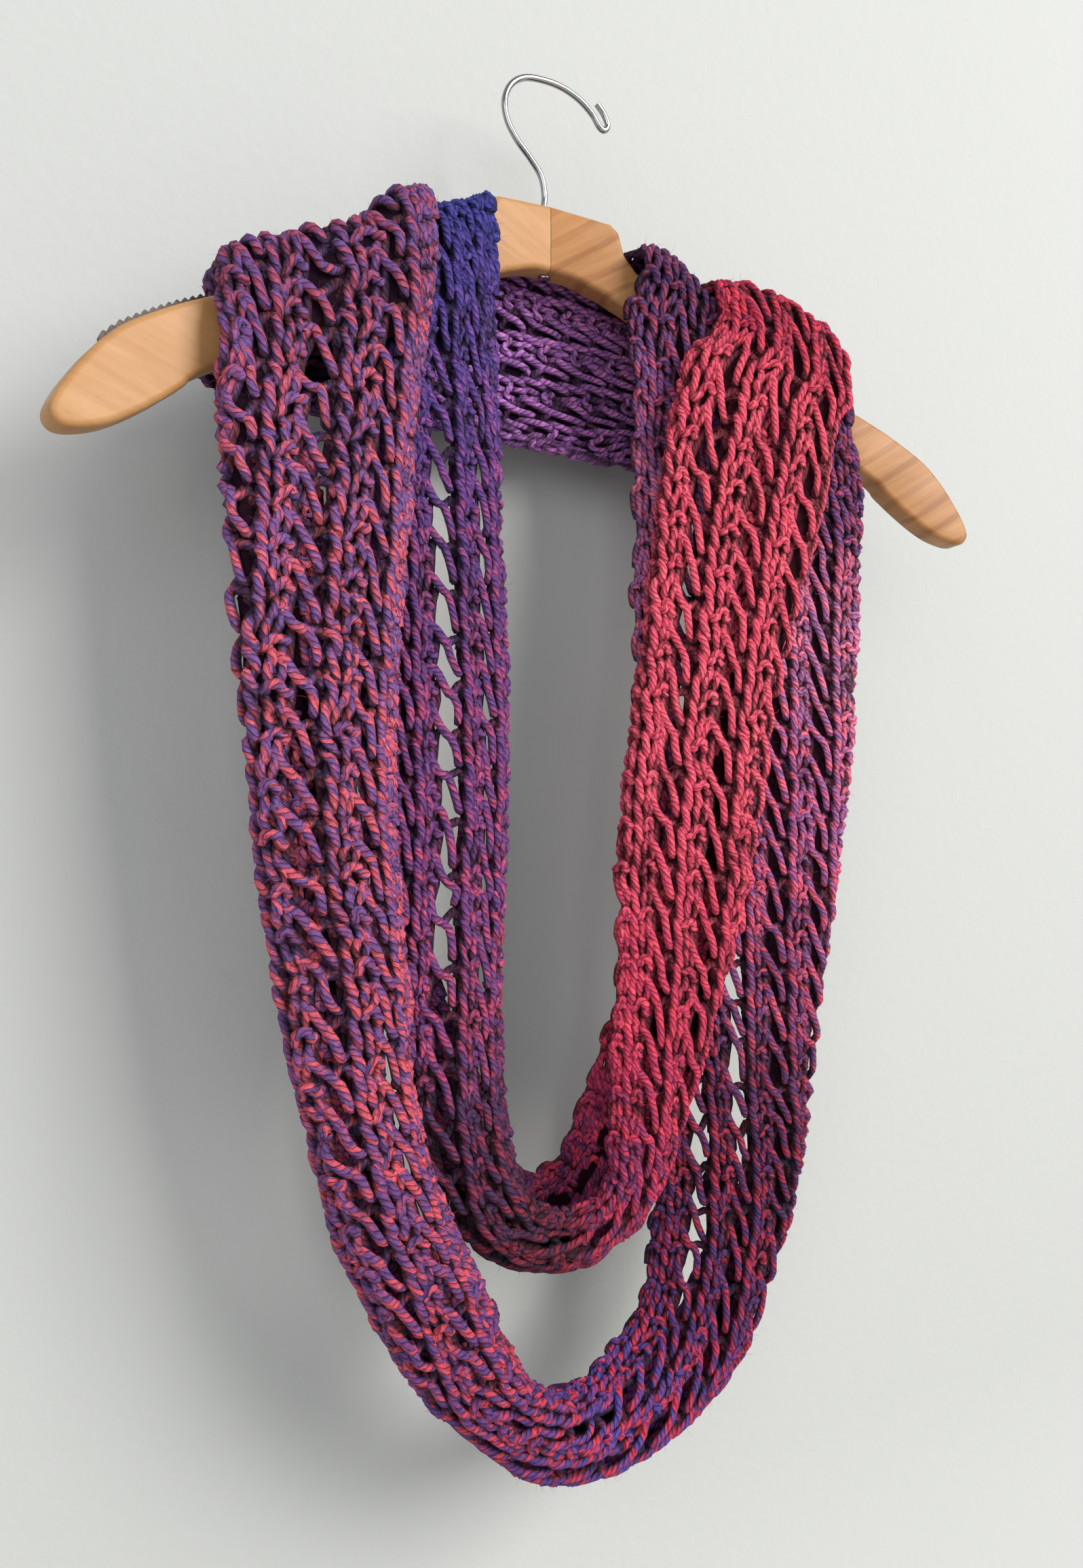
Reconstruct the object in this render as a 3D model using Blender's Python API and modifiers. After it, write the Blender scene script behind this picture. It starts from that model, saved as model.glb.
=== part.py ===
"""Knitted infinity scarf, hung doubled on a contoured wooden coat hanger.

One closed knitted strip runs twice round the hanger: down the outer right strand, round the
outer bottom, up the outer left strand and behind the hanger, then down the inner right strand,
round the inner bottom, up the inner left strand and back behind the neck to the seam.

+X runs along the hanger, +Y points away from the viewer, +Z is up. The origin is the inner top
of the hook, where the whole part hangs. Tables are in millimetres, with z counted from the
top of the hanger's centre block; the model is built in metres.
"""
import math
from collections import namedtuple

import bpy
import bmesh
import numpy as np
from mathutils import Vector

MM = 0.001

# Driving dimensions, millimetres
BLOCK_DROP = 60.0          # hook's inner top down to the top of the centre block
BOARD_THICKNESS = 14.0
BOARD_EDGE_ROUND = 3.0
BOARD_SWEEP = math.radians(12.5)   # each half sweeps forward by this angle
ARM_TOP_AT_ZERO = -4.5     # straight run of the arm's top edge, carried back to the joint
ARM_TOP_SLOPE = -0.5
JOINT_GAP = 0.3            # between pieces that meet
HOOK_WIRE = 3.0
SHANK_HOLE = 3.8
SHANK_DEPTH = 22.0
GRIP_START = 166.0         # along the board, where the toothed grip strip starts
GRIP_END = 205.0
TOOTH_PITCH = 3.0
TOOTH_HEIGHT = 1.5
GRIP_BASE = 1.2
GRIP_WIDTH = 1.8
WALL = 4.4                 # thickness of the knitted cloth
REPEAT = 19.6              # two knitted rows along the strip
GAP_LENGTH = 12.0          # one ladder gap along the strip
NECK_STEP = 14.0           # length of a cell behind the neck
SHOULDER_STEP = 8.0        # length of a cell over an arm
END_CELL = 1.5             # short last cell, which keeps a stretch's end face square
STRETCH_GAP = 0.7          # between two stretches of the cloth, on its middle surface
BENT_STRETCH_GAP = 2.4     # the same where the fold's inner side closes up at an arm
STITCHES = 20              # across the strip
HEM_ROUND = 3.5            # bend radius where the inner selvage curls back
OPEN_LADDERS = (4, 8)      # stitch columns whose gaps are cut through
OUTER_RIGHT_LADDERS = (4, 12)      # on the outer right strand, where column 12 shows instead

# Across the strip, in stitches from the inner selvage: the cells of the cloth's grid.
# A ladder's gap is the narrow cell round stitch 4, 8 or 12.
CELL_EDGES = (0.0, 1.7, 3.4, 4.6, 7.4, 8.6, 11.4, 12.6, 14.4, 16.2, 18.0, 20.0)
CLOSED_CELL_EDGES = (0.0, 1.7, 3.4, 4.6, 6.8, 9.1, 11.4, 12.6, 14.4, 16.2, 18.0, 20.0)


def remove_startup_objects():
    for obj in list(bpy.data.objects):
        bpy.data.objects.remove(obj, do_unlink=True)


def collection(name):
    group = bpy.data.collections.new(name)
    bpy.context.scene.collection.children.link(group)
    return group


def finish(name, color, roughness, metallic=0.0):
    material = bpy.data.materials.new(name)
    material.use_nodes = True
    shader = material.node_tree.nodes["Principled BSDF"]
    shader.inputs["Base Color"].default_value = (*color, 1.0)
    shader.inputs["Roughness"].default_value = roughness
    shader.inputs["Metallic"].default_value = metallic
    return material


def to_world(point):
    """Table millimetres, z from the block's top, to metres from the hook."""
    x, y, z = point
    return Vector((x * MM, y * MM, (z - BLOCK_DROP) * MM))


def add_object(name, mesh, group, material):
    obj = bpy.data.objects.new(name, mesh)
    group.objects.link(obj)
    mesh.materials.append(material)
    return obj


# ---------------------------------------------------------------- the hanger's two halves

# Outline of one half in the plane of its board: distance from the joint, height.
BOARD_TOP = ((-12, 0.6), (0, 0), (31, -5), (35, -8.5), (38, -19), (44, -26.5), (150, -79.5),
             (163, -85.5), (177, -92.5), (189, -99.5), (198, -105.5), (205, -112), (211, -119),
             (216, -126), (221, -134), (223.5, -141))
BOARD_BOTTOM = ((221, -145.5), (215, -146), (205, -143), (196, -138), (186, -131), (176, -123),
                (165, -114), (36.7, -43), (21.7, -36), (10.8, -32), (0, -30.5), (-12, -30.5))


def board_direction(side):
    return Vector((side * math.cos(BOARD_SWEEP), -math.sin(BOARD_SWEEP), 0.0))


def board_mesh(side):
    """A flat outline with thickness, its edges rounded, turned forward and mitred at x = 0."""
    curve = bpy.data.curves.new("board outline", "CURVE")
    curve.dimensions = "2D"
    curve.fill_mode = "BOTH"
    curve.extrude = BOARD_THICKNESS / 2 * MM
    outline = BOARD_TOP + BOARD_BOTTOM
    spline = curve.splines.new("POLY")
    spline.points.add(len(outline) - 1)
    for point, (along, height) in zip(spline.points, outline):
        point.co = (along * MM, (height - BLOCK_DROP) * MM, 0.0, 1.0)
    spline.use_cyclic_u = True
    source = bpy.data.objects.new("board outline", curve)
    bpy.context.scene.collection.objects.link(source)
    mesh = bpy.data.meshes.new_from_object(source.evaluated_get(bpy.context.evaluated_depsgraph_get()))
    bpy.data.objects.remove(source, do_unlink=True)

    direction = board_direction(side)
    outward = Vector((direction.y, -direction.x, 0.0)) * side
    for vertex in mesh.vertices:
        along, height, across = vertex.co
        vertex.co = direction * along + Vector((0, 0, height)) + outward * across

    shape = bmesh.new()
    shape.from_mesh(mesh)
    bmesh.ops.remove_doubles(shape, verts=shape.verts, dist=1e-6)
    bmesh.ops.dissolve_limit(shape, angle_limit=math.radians(1), verts=shape.verts, edges=shape.edges)
    rims = [edge for edge in shape.edges
            if len(edge.link_faces) == 2 and edge.calc_face_angle() > math.radians(60)]
    bmesh.ops.bevel(shape, geom=rims, offset=BOARD_EDGE_ROUND * MM, segments=3, profile=0.5,
                    affect="EDGES", clamp_overlap=True)
    bmesh.ops.bisect_plane(shape, geom=shape.verts[:] + shape.edges[:] + shape.faces[:],
                           plane_co=(side * JOINT_GAP / 2 * MM, 0, 0), plane_no=(side, 0, 0),
                           clear_inner=True)
    open_edges = [edge for edge in shape.edges if edge.is_boundary]
    bmesh.ops.holes_fill(shape, edges=open_edges)
    bmesh.ops.recalc_face_normals(shape, faces=shape.faces)
    shape.to_mesh(mesh)
    shape.free()
    return mesh


def make_boards(group, cutters):
    wood = finish("lacquered maple", (0.60, 0.33, 0.12), 0.3)
    bpy.ops.mesh.primitive_cylinder_add(vertices=16, radius=SHANK_HOLE / 2 * MM, depth=60 * MM,
                                        location=(0, 0, (30 - SHANK_DEPTH - BLOCK_DROP) * MM))
    drill = bpy.context.object
    drill.name = "shank drill"
    drill.hide_render = True
    drill.display_type = "WIRE"
    for owner in list(drill.users_collection):
        owner.objects.unlink(drill)
    cutters.objects.link(drill)
    for side, name in ((-1, "hanger_left"), (1, "hanger_right")):
        obj = add_object(name, board_mesh(side), group, wood)
        obj.data.shade_smooth()
        obj.data.set_sharp_from_angle(angle=math.radians(40))
        cut = obj.modifiers.new("shank hole", "BOOLEAN")
        cut.operation = "DIFFERENCE"
        cut.object = drill


# ---------------------------------------------------------------- hook and grips

# The wire's centre line: x, z. It rises from the block, swings left, arches over and ends in
# a short hairpin on its outer side.
HOOK_ROUTE = ((0, -21), (0, 0), (0.3, 8), (-1.5, 16), (-7, 23), (-14, 30), (-19, 38), (-20.3, 47),
              (-17, 55), (-10, 60), (0, 61.5), (10, 60.8), (19, 57.6), (26, 52.5), (30, 47.5),
              (32.8, 46.6), (34.6, 49.4), (32.6, 54.0), (28.6, 58.2))


def smooth_route(points, steps):
    """Catmull-Rom points through a list of positions."""
    knots = [Vector(p) for p in points]
    knots = [knots[0] * 2 - knots[1]] + knots + [knots[-1] * 2 - knots[-2]]
    route = []
    for index in range(1, len(knots) - 2):
        a, b, c, d = knots[index - 1:index + 3]
        for step in range(steps):
            t = step / steps
            route.append(0.5 * ((2 * b) + (c - a) * t + (2 * a - 5 * b + 4 * c - d) * t ** 2
                                + (3 * b - a - 3 * c + d) * t ** 3))
    route.append(knots[-2])
    return route


def make_hook(group):
    steel = finish("bright steel wire", (0.62, 0.61, 0.60), 0.18, 1.0)
    curve = bpy.data.curves.new("hook", "CURVE")
    curve.dimensions = "3D"
    curve.bevel_depth = HOOK_WIRE / 2 * MM
    curve.bevel_resolution = 2
    curve.use_fill_caps = True
    route = smooth_route([(x, 0.0, z) for x, z in HOOK_ROUTE], 2)
    spline = curve.splines.new("POLY")
    spline.points.add(len(route) - 1)
    for point, place in zip(spline.points, route):
        point.co = (*to_world(place), 1.0)
    obj = bpy.data.objects.new("hook", curve)
    group.objects.link(obj)
    curve.materials.append(steel)


def arm_top(along):
    """Height of the board's top edge at a distance along it."""
    reach = [point[0] for point in BOARD_TOP]
    height = [point[1] for point in BOARD_TOP]
    return float(np.interp(along, reach, height))


def make_grips(group):
    """A low toothed strip along the top of each arm, which stops a strap from sliding."""
    rubber = finish("dark grip strip", (0.05, 0.035, 0.025), 0.6)
    teeth = int((GRIP_END - GRIP_START) / TOOTH_PITCH)
    for side, name in ((-1, "grip_left"), (1, "grip_right")):
        direction = board_direction(side)
        across = Vector((-direction.y * side, direction.x * side, 0.0))
        shape = bmesh.new()
        low, high = [], []
        for index in range(teeth * 2 + 1):
            along = GRIP_START + index * TOOTH_PITCH / 2
            seat = arm_top(along) + JOINT_GAP
            low.append((along, seat))
            high.append((along, seat + GRIP_BASE + (TOOTH_HEIGHT if index % 2 else 0.0)))
        rows = []
        for along, height in low + high[::-1]:
            middle = direction * along + Vector((0, 0, height))
            rows.append([shape.verts.new(to_world(middle + across * GRIP_WIDTH * end))
                         for end in (0.0, 1.0)])
        count = len(rows)
        for index in range(count):
            following = rows[(index + 1) % count]
            shape.faces.new((rows[index][0], rows[index][1], following[1], following[0]))
        half = count // 2
        for end in (0, 1):
            for index in range(half - 1):
                shape.faces.new((rows[index][end], rows[index + 1][end],
                                 rows[count - 2 - index][end], rows[count - 1 - index][end]))
        bmesh.ops.recalc_face_normals(shape, faces=shape.faces)
        mesh = bpy.data.meshes.new(name)
        shape.to_mesh(mesh)
        shape.free()
        add_object(name, mesh, group, rubber)


# ---------------------------------------------------------------- the knitted strip

# One row for each section across the strip: the inner selvage, the outermost line of the
# face, how far the face bows out, a ridge near the inner side, the length curled back at the
# inner selvage, the bend radius at the outer line, and the length folded back behind it.
Section = namedtuple("Section", "in_x in_y in_z out_x out_y out_z bow ridge hem bend tuck")
RIDGE_PLACE = 0.12         # of the face's width
RIDGE_SPREAD = 0.14


def over_arm(in_x, out_x, in_lift, out_lift, bow, ridge, hem, bend, tuck, back_turn=0.7,
             back_out_drop=22.0, front_in_drop=10.0, front_out_drop=12.0, from_back=True):
    """Five sections that carry the strip over an arm, from back to front or the other way.

    The lifts are heights of the cloth's middle over the arm's top; at the back the inner end
    stays high, because the strip turns there towards the neck.
    """
    half = BOARD_THICKNESS / 2
    in_corner, out_corner = 0.8 * in_lift - 0.2 * half, 0.8 * out_lift - 0.2 * half
    side = math.copysign(1.0, in_x)
    stations = (
        (2.0, 1.1, 1.15, in_lift, -back_out_drop, 0.3),
        (2.0, back_turn, 0.86, in_lift, out_corner, 0.7),
        (0.0, 0.0, 0.0, in_lift, out_lift, 1.0),
        (0.0, -0.86, -0.86, in_corner, out_corner, 1.0),
        (0.0, -1.05, -1.05, -front_in_drop, -front_out_drop, 0.8),
    )
    rows = []
    for inset, in_shift, out_shift, in_rise, out_rise, share in stations:
        ends = []
        for x, lift, shift, rise in ((in_x + side * inset, in_lift, in_shift, in_rise),
                                     (out_x, out_lift, out_shift, out_rise)):
            along = abs(x) / math.cos(BOARD_SWEEP)
            ends += [x, -along * math.sin(BOARD_SWEEP) + shift * (half + lift),
                     ARM_TOP_AT_ZERO + ARM_TOP_SLOPE * along + rise]
        rows.append(Section(*ends, bow, ridge * share, hem, bend, tuck))
    return rows if from_back else rows[::-1]


# The strip in its order round the loop, starting at the seam behind the neck. Each stretch
# runs on to the first section of the next one.
STRETCHES = (
    ("neck_band", (
        Section(-22, 13, -3, -30, 16, -105, 0, 0, 0, 4, 13),
        Section(-5, 13, -6, 6, 17, -106, 0, 0, 0, 4, 10),
        Section(10, 12, -9, 52, 15, -110, 0, 0, 0, 4, 4),
    )),
    ("right_shoulder_under", [
        Section(26, 10, -14, 102, 7, -112, 0, 0.5, 0, 4, 0),
    ] + over_arm(41, 150, 7.5, 4.5, 0, 4.5, 0, 4, 0, front_in_drop=6.0)),
    ("outer_right", (
        Section(35, -22, -48, 151, -48, -118, 0, 2, 0, 4, 2),
        Section(37, -20, -84, 152, -46, -156, 0, 0, 0, 4, 8),
        Section(39, -19, -150, 150, -46, -204, 2, 0, 0, 5, 8),
        Section(40, -18, -225, 146, -46, -262, 3, 0, 0, 5, 12),
        Section(42, -18, -306, 135, -46, -330, 3, 0, 0, 6, 20),
        Section(48, -16, -388, 125, -44, -403, 3, 0, 0, 7, 30),
        Section(53, -14, -457, 118, -42, -459, 3, 0, 0, 9, 42),
    )),
    ("outer_bottom", (
        Section(51, -12, -495, 104, -40, -503, 4, 0, 0, 11, 52),
        Section(40, -14, -523, 82, -41, -540, 5, 0, 0, 13, 62),
        Section(17, -22, -535, 47, -44, -562, 6, 0, 0, 14, 70),
        Section(-9, -34, -537, -1, -48, -568, 7, 0, 0, 14, 74),
        Section(-31, -44, -522, -41, -52, -545, 7, 0, 0, 14, 74),
        Section(-45, -48, -497, -70, -54, -519, 6, 0, 0, 12, 70),
    )),
    ("outer_left", (
        Section(-61, -50, -461, -95, -55, -481, 5, 0, 0, 9, 52),
        Section(-75, -50, -430, -111, -56, -445, 5, 0, 0, 7, 46),
        Section(-84, -48, -391, -123, -56, -402, 4, 0, 0, 6, 46),
        Section(-86, -44, -338, -135, -56, -347, 4, 0, 0, 5, 50),
        Section(-90, -41, -275, -143, -56, -284, 3, 0, 0, 5, 54),
        Section(-87, -39, -212, -150, -56, -226, 3, 0, 0, 4.5, 50),
        Section(-81, -38, -147, -154, -56, -170, 2, 0, 0, 4, 46),
        Section(-77, -38, -96, -157, -56, -134, 2, 1, 0, 4, 40),
    )),
    ("left_shoulder_over", over_arm(-73, -158, 16.8, 13.5, -2.0, 5, 0, 3.2, 30, front_in_drop=16.0,
                                    front_out_drop=26.0,
                                    from_back=False) + [
        Section(-50, 20, -24, -106, 17, -104, 0, 2, 0, 3.4, 16),
    ]),
    ("neck_band_hidden", (
        Section(-20, 22, -11, -42, 26, -99, 0, 0, 0, 3.4, 9),
        Section(14, 22, -10, 18, 27, -98, 0, 0, 0, 3.4, 8),
        Section(46, 20, -18, 68, 26, -101, 0, 0, 0, 3.4, 12),
    )),
    ("right_shoulder_over", [
        Section(61, 15, -26, 106, 16, -106, 2, 0, 0, 3.4, 24),
    ] + over_arm(74, 134, 12.8, 19.2, 6.5, 0, 0, 3.2, 36)),
    ("inner_right", (
        Section(59, -38, -68, 127, -58, -93, 4, 0, 6, 4, 42),
        Section(51, -38, -96, 123, -58, -114, 3, 0, 10, 4, 46),
        Section(42, -39, -135, 116, -57, -148, 3, 0, 11, 4.5, 46),
        Section(34, -40, -191, 100, -57, -200, 3, 0, 10, 5, 48),
        Section(26, -40, -244, 87, -56, -254, 3, 0, 8, 5.5, 50),
        Section(19, -41, -297, 79, -55, -308, 3, 0, 6, 6, 52),
        Section(15, -42, -349, 65, -54, -360, 3, 0, 3, 7, 56),
        Section(12, -42, -397, 49, -53, -408, 3, 0, 0, 9, 62),
    )),
    ("inner_bottom", (
        Section(12, -43, -428, 37, -52, -439, 4, 0, 0, 11, 66),
        Section(7, -44, -448, 23, -52, -460, 4, 0, 0, 13, 70),
        Section(-9, -44, -454, -1, -52, -472, 4, 0, 0, 14, 72),
        Section(-23, -44, -450, -26, -51, -471, 4, 0, 0, 14, 72),
        Section(-33, -42, -438, -48, -50, -459, 4, 0, 0, 12, 68),
    )),
    ("inner_left", (
        Section(-37, -38, -419, -62, -46, -440, 4, 0, 0, 10, 64),
        Section(-37, -33, -394, -72, -42, -411, 3, 0, 3, 8, 54),
        Section(-36, -29, -351, -86, -36, -360, 3, 0, 7, 6, 38),
        Section(-32, -26, -286, -93, -31, -295, 2, 0, 8, 4.5, 24),
        Section(-31, -24, -217, -97, -28, -227, 2, 0, 8, 4, 20),
        Section(-33, -22, -148, -99, -27, -164, 2, 0, 8, 4, 20),
        Section(-34, -21, -104, -98, -31, -132, 2, 0, 6, 4, 20),
        Section(-36, -23, -66, -96, -36, -104, 1, 0, 2, 3.4, 18),
    )),
    ("left_shoulder_under", over_arm(-39, -92, 12.5, 10.4, 0, 0, 0, 3.0, 16, back_turn=0.6,
                                     front_in_drop=14.0, front_out_drop=30.0, from_back=False) + [
        Section(-31, 13, -6, -72, 8, -99, 0, 0, 0, 3.6, 15),
    ]),
)
# Stretches whose ladders stay closed, with the length of their cells
CLOSED_STRETCHES = {
    "neck_band": NECK_STEP, "neck_band_hidden": NECK_STEP,
    "right_shoulder_under": SHOULDER_STEP, "left_shoulder_over": SHOULDER_STEP,
    "right_shoulder_over": SHOULDER_STEP, "left_shoulder_under": SHOULDER_STEP,
}


def catmull_rom(rows, position):
    """Closed smooth run through the table rows; position counts rows."""
    count = len(rows)
    index = np.floor(position).astype(int)
    t = (position - index)[:, None]
    a, b, c, d = (rows[(index + shift) % count] for shift in (-1, 0, 1, 2))
    return 0.5 * (2 * b + (c - a) * t + (2 * a - 5 * b + 4 * c - d) * t ** 2
                  + (3 * b - a - 3 * c + d) * t ** 3)


def profile(width, bow, ridge, hem, bend, tuck, fractions):
    """Points across one section: distance from the inner line, height over the flat face."""
    face = np.linspace(0.0, 1.0, 25)
    reach = max(width - bend, 1.0)
    start = min(HEM_ROUND, hem)
    across = start + (reach - start) * face
    lift = 4 * bow * face * (1 - face) + ridge * np.exp(-((face - RIDGE_PLACE) / RIDGE_SPREAD) ** 4)
    points = list(zip(across, lift))
    turn = np.linspace(0.0, min(math.pi, tuck / bend), 9)[1:]
    points += [(reach + bend * math.sin(a), -bend * (1 - math.cos(a))) for a in turn]
    straight = tuck - math.pi * bend
    if straight > 0:
        behind = np.linspace(0.0, 1.0, 9)[1:] * straight
        follow = np.minimum(behind / reach, 1.0)
        points += list(zip(reach - behind, 4 * bow * follow * (1 - follow) - 2 * bend))
    if hem > 0:
        curl = np.linspace(0.0, min(math.pi, hem / HEM_ROUND), 7)[1:]
        inner = [(start - HEM_ROUND * math.sin(a), -HEM_ROUND * (1 - math.cos(a))) for a in curl]
        points = inner[::-1] + points
    points = np.array(points)
    length = np.concatenate([[0.0], np.cumsum(np.linalg.norm(np.diff(points, axis=0), axis=1))])
    wanted = np.asarray(fractions) * length[-1]
    return np.stack([np.interp(wanted, length, points[:, k]) for k in (0, 1)], axis=1)


def strip_rows():
    rows = [row for _, stretch in STRETCHES for row in stretch]
    return np.array(rows, dtype=float)


def strip_points(position, fractions):
    """The cloth's middle surface: one line of points across it for each position."""
    rows = strip_rows()
    here = catmull_rom(rows, position)
    step = 0.02
    ahead = catmull_rom(rows, position + step)
    behind = catmull_rom(rows, position - step)
    heading = (ahead[:, 0:3] + ahead[:, 3:6]) - (behind[:, 0:3] + behind[:, 3:6])
    grid = np.empty((len(position), len(fractions), 3))
    for index, row in enumerate(here):
        inner, outer = row[0:3], row[3:6]
        span = outer - inner
        width = float(np.linalg.norm(span))
        span = span / width
        face = np.cross(heading[index], span)
        face = face / np.linalg.norm(face)
        bow, ridge, hem, bend, tuck = row[6:11]
        shape = profile(width, bow, ridge, max(hem, 0.0), bend, tuck, fractions)
        grid[index] = inner + shape[:, :1] * span + shape[:, 1:] * face
    return grid


def stretch_positions(name, first, count, start_gap, end_gap):
    """Row positions at even lengths along one stretch, and whether each row of cells is open."""
    fine = np.linspace(first, first + count, count * 24 + 1)
    rows = catmull_rom(strip_rows(), fine)
    middle = (rows[:, 0:3] + rows[:, 3:6]) / 2
    length = np.concatenate([[0.0], np.cumsum(np.linalg.norm(np.diff(middle, axis=0), axis=1))])
    total = length[-1]
    if name in CLOSED_STRETCHES:
        cells = max(2, round(total / CLOSED_STRETCHES[name]))
        marks = [total * index / cells for index in range(cells + 1)]
        is_open = [False] * cells
    else:
        repeats = max(1, round(total / REPEAT))
        bar = (total - repeats * GAP_LENGTH) / repeats
        marks, is_open = [0.0], []
        for _ in range(repeats):
            marks += [marks[-1] + bar, marks[-1] + bar + GAP_LENGTH]
            is_open += [False, True]
        marks[-1] = total - bar / 2
        marks[1:] = [mark - bar / 2 for mark in marks[1:-1]] + [total - bar / 2, total]
        is_open.append(False)
    marks = np.array([marks[0], marks[0] + END_CELL] + marks[1:-1] + [marks[-1] - END_CELL, marks[-1]])
    is_open = [False] + is_open + [False]
    marks[0] += start_gap / 2
    marks[-1] -= end_gap / 2
    return np.interp(marks, length, fine), is_open


def make_stretch(name, first, count, start_gap, end_gap, group, material):
    position, is_open = stretch_positions(name, first, count, start_gap, end_gap)
    edges = CLOSED_CELL_EDGES if name in CLOSED_STRETCHES else CELL_EDGES
    fractions = np.array(edges) / STITCHES
    grid = strip_points(position, fractions)
    ladders = OUTER_RIGHT_LADDERS if name == "outer_right" else OPEN_LADDERS
    open_columns = [index for index in range(len(edges) - 1)
                    if any(edges[index] < ladder < edges[index + 1] for ladder in ladders)]
    shape = bmesh.new()
    verts = [[shape.verts.new(to_world(point)) for point in line] for line in grid]
    for row, gap_row in enumerate(is_open):
        for column in range(len(fractions) - 1):
            if gap_row and column in open_columns:
                continue
            shape.faces.new((verts[row][column], verts[row][column + 1],
                             verts[row + 1][column + 1], verts[row + 1][column]))
    mesh = bpy.data.meshes.new(name)
    shape.normal_update()
    shape.to_mesh(mesh)
    shape.free()
    obj = add_object(name, mesh, group, material)
    mesh.shade_smooth()
    wall = obj.modifiers.new("knitted wall", "SOLIDIFY")
    wall.thickness = WALL * MM
    wall.offset = 0.0
    wall.use_even_offset = False
    wall.use_rim = True


def make_scarf(group):
    finishes = {
        "neck_band": (0.17, 0.06, 0.20), "right_shoulder_under": (0.16, 0.04, 0.14),
        "outer_right": (0.16, 0.03, 0.10), "outer_bottom": (0.25, 0.04, 0.10),
        "outer_left": (0.26, 0.08, 0.20), "left_shoulder_over": (0.24, 0.08, 0.18),
        "neck_band_hidden": (0.28, 0.06, 0.12), "right_shoulder_over": (0.45, 0.05, 0.07),
        "inner_right": (0.55, 0.05, 0.09), "inner_bottom": (0.22, 0.04, 0.12),
        "inner_left": (0.13, 0.06, 0.22), "left_shoulder_under": (0.09, 0.07, 0.34),
    }
    gaps = [BENT_STRETCH_GAP if name.startswith("left_shoulder") else STRETCH_GAP
            for name, _ in STRETCHES]
    first = 0
    for index, (name, rows) in enumerate(STRETCHES):
        material = finish(name + " yarn", finishes[name], 0.9)
        make_stretch(name, first, len(rows), gaps[index], gaps[(index + 1) % len(gaps)], group, material)
        first += len(rows)


remove_startup_objects()
part = collection("infinity scarf on hanger")
tools = collection("cutters")
make_boards(part, tools)
make_hook(part)
make_grips(part)
make_scarf(part)
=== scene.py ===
"""Looks of a knitted infinity scarf, hung doubled on a contoured wooden coat hanger.

Everything is in metres, with the hook's inner top at the origin, +X along the hanger, +Y away
from the viewer and +Z up. The tables are in millimetres, with heights counted from the top of
the hanger's centre block.
"""
import math

import bpy
import bmesh
import numpy as np
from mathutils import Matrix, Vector


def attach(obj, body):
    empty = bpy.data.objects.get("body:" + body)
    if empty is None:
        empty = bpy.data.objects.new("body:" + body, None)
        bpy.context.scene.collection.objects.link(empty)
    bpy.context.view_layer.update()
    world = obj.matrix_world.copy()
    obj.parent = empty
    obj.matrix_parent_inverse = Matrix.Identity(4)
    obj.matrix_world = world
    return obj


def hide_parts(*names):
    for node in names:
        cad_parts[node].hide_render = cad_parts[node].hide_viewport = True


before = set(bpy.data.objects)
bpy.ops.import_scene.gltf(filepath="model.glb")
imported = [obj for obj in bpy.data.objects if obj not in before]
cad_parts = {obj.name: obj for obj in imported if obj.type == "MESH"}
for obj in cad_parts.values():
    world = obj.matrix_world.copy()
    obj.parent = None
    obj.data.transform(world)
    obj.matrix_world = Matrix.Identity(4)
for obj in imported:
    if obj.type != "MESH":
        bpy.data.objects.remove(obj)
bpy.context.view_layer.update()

# ------------------------------------------------ the hanger's two halves
# Two flat maple boards, sawn to a contoured outline, rounded over, mitred and glued together at
# the middle, then lacquered. Each half sweeps forward a little.

MM = 0.001
BLOCK_DROP = 60.0                  # hook's inner top down to the top of the centre block
BLOCK_HEIGHT = 30.5
BOARD_THICKNESS = 14.0
BOARD_EDGE_ROUND = 2.6
BOARD_EDGE_STEPS = 5
BOARD_SWEEP = math.radians(12.5)
MITRE_GAP = 0.15                   # half of the joint between the two halves
CURVE_STEPS = 4                    # points cut between two corners on the rounded arm tip
FLAT_BELOW = math.radians(1)       # an edge between two faces is dissolved below this angle
RIM_ABOVE = math.radians(60)       # and rounded above this one
TOUCHING = 1e-6                    # metres within which two points are one

# Outline of one half in the plane of its board: distance from the joint, height.
# Straight runs first and last; between the marks the outline is one smooth curve.
BOARD_TOP = ((-12, 0.6), (0, 0), (31, -5), (35, -8.5), (38, -19), (44, -26.5))
BOARD_TIP = ((44, -26.5), (97, -53), (150, -79.5), (163, -85.5), (177, -92.5), (189, -99.5),
             (198, -105.5), (205, -112), (211, -119), (216, -126), (221, -134), (223.5, -141),
             (221, -145.5), (215, -146), (205, -143), (196, -138), (186, -131), (176, -123),
             (165, -114), (101, -78.5), (36.7, -43), (21.7, -36), (10.8, -32), (0, -30.5),
             (-12, -30.5))


def linear(red, green, blue):
    """A screen colour, 0 to 255, as the linear values and alpha that shaders take."""
    return (*(((c / 255 + 0.055) / 1.055) ** 2.4 if c > 10 else c / 3294.6
              for c in (red, green, blue)), 1.0)


def feed(tree, node, inputs):
    """Gives a node's sockets what they take: numbers, tuples or other nodes' outputs."""
    for socket, value in inputs.items():
        if isinstance(value, bpy.types.NodeSocket):
            tree.links.new(value, node.inputs[socket])
        else:
            node.inputs[socket].default_value = value


def add_node(tree, kind, inputs=None, **settings):
    node = tree.nodes.new("ShaderNode" + kind)
    for label, value in settings.items():
        setattr(node, label, value)
    feed(tree, node, inputs or {})
    return node


def new_material(name):
    material = bpy.data.materials.new(name)
    material.use_nodes = True
    tree = material.node_tree
    tree.nodes.clear()
    shader = add_node(tree, "BsdfPrincipled")
    add_node(tree, "OutputMaterial", {"Surface": shader.outputs["BSDF"]})
    return material, tree, shader


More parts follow.
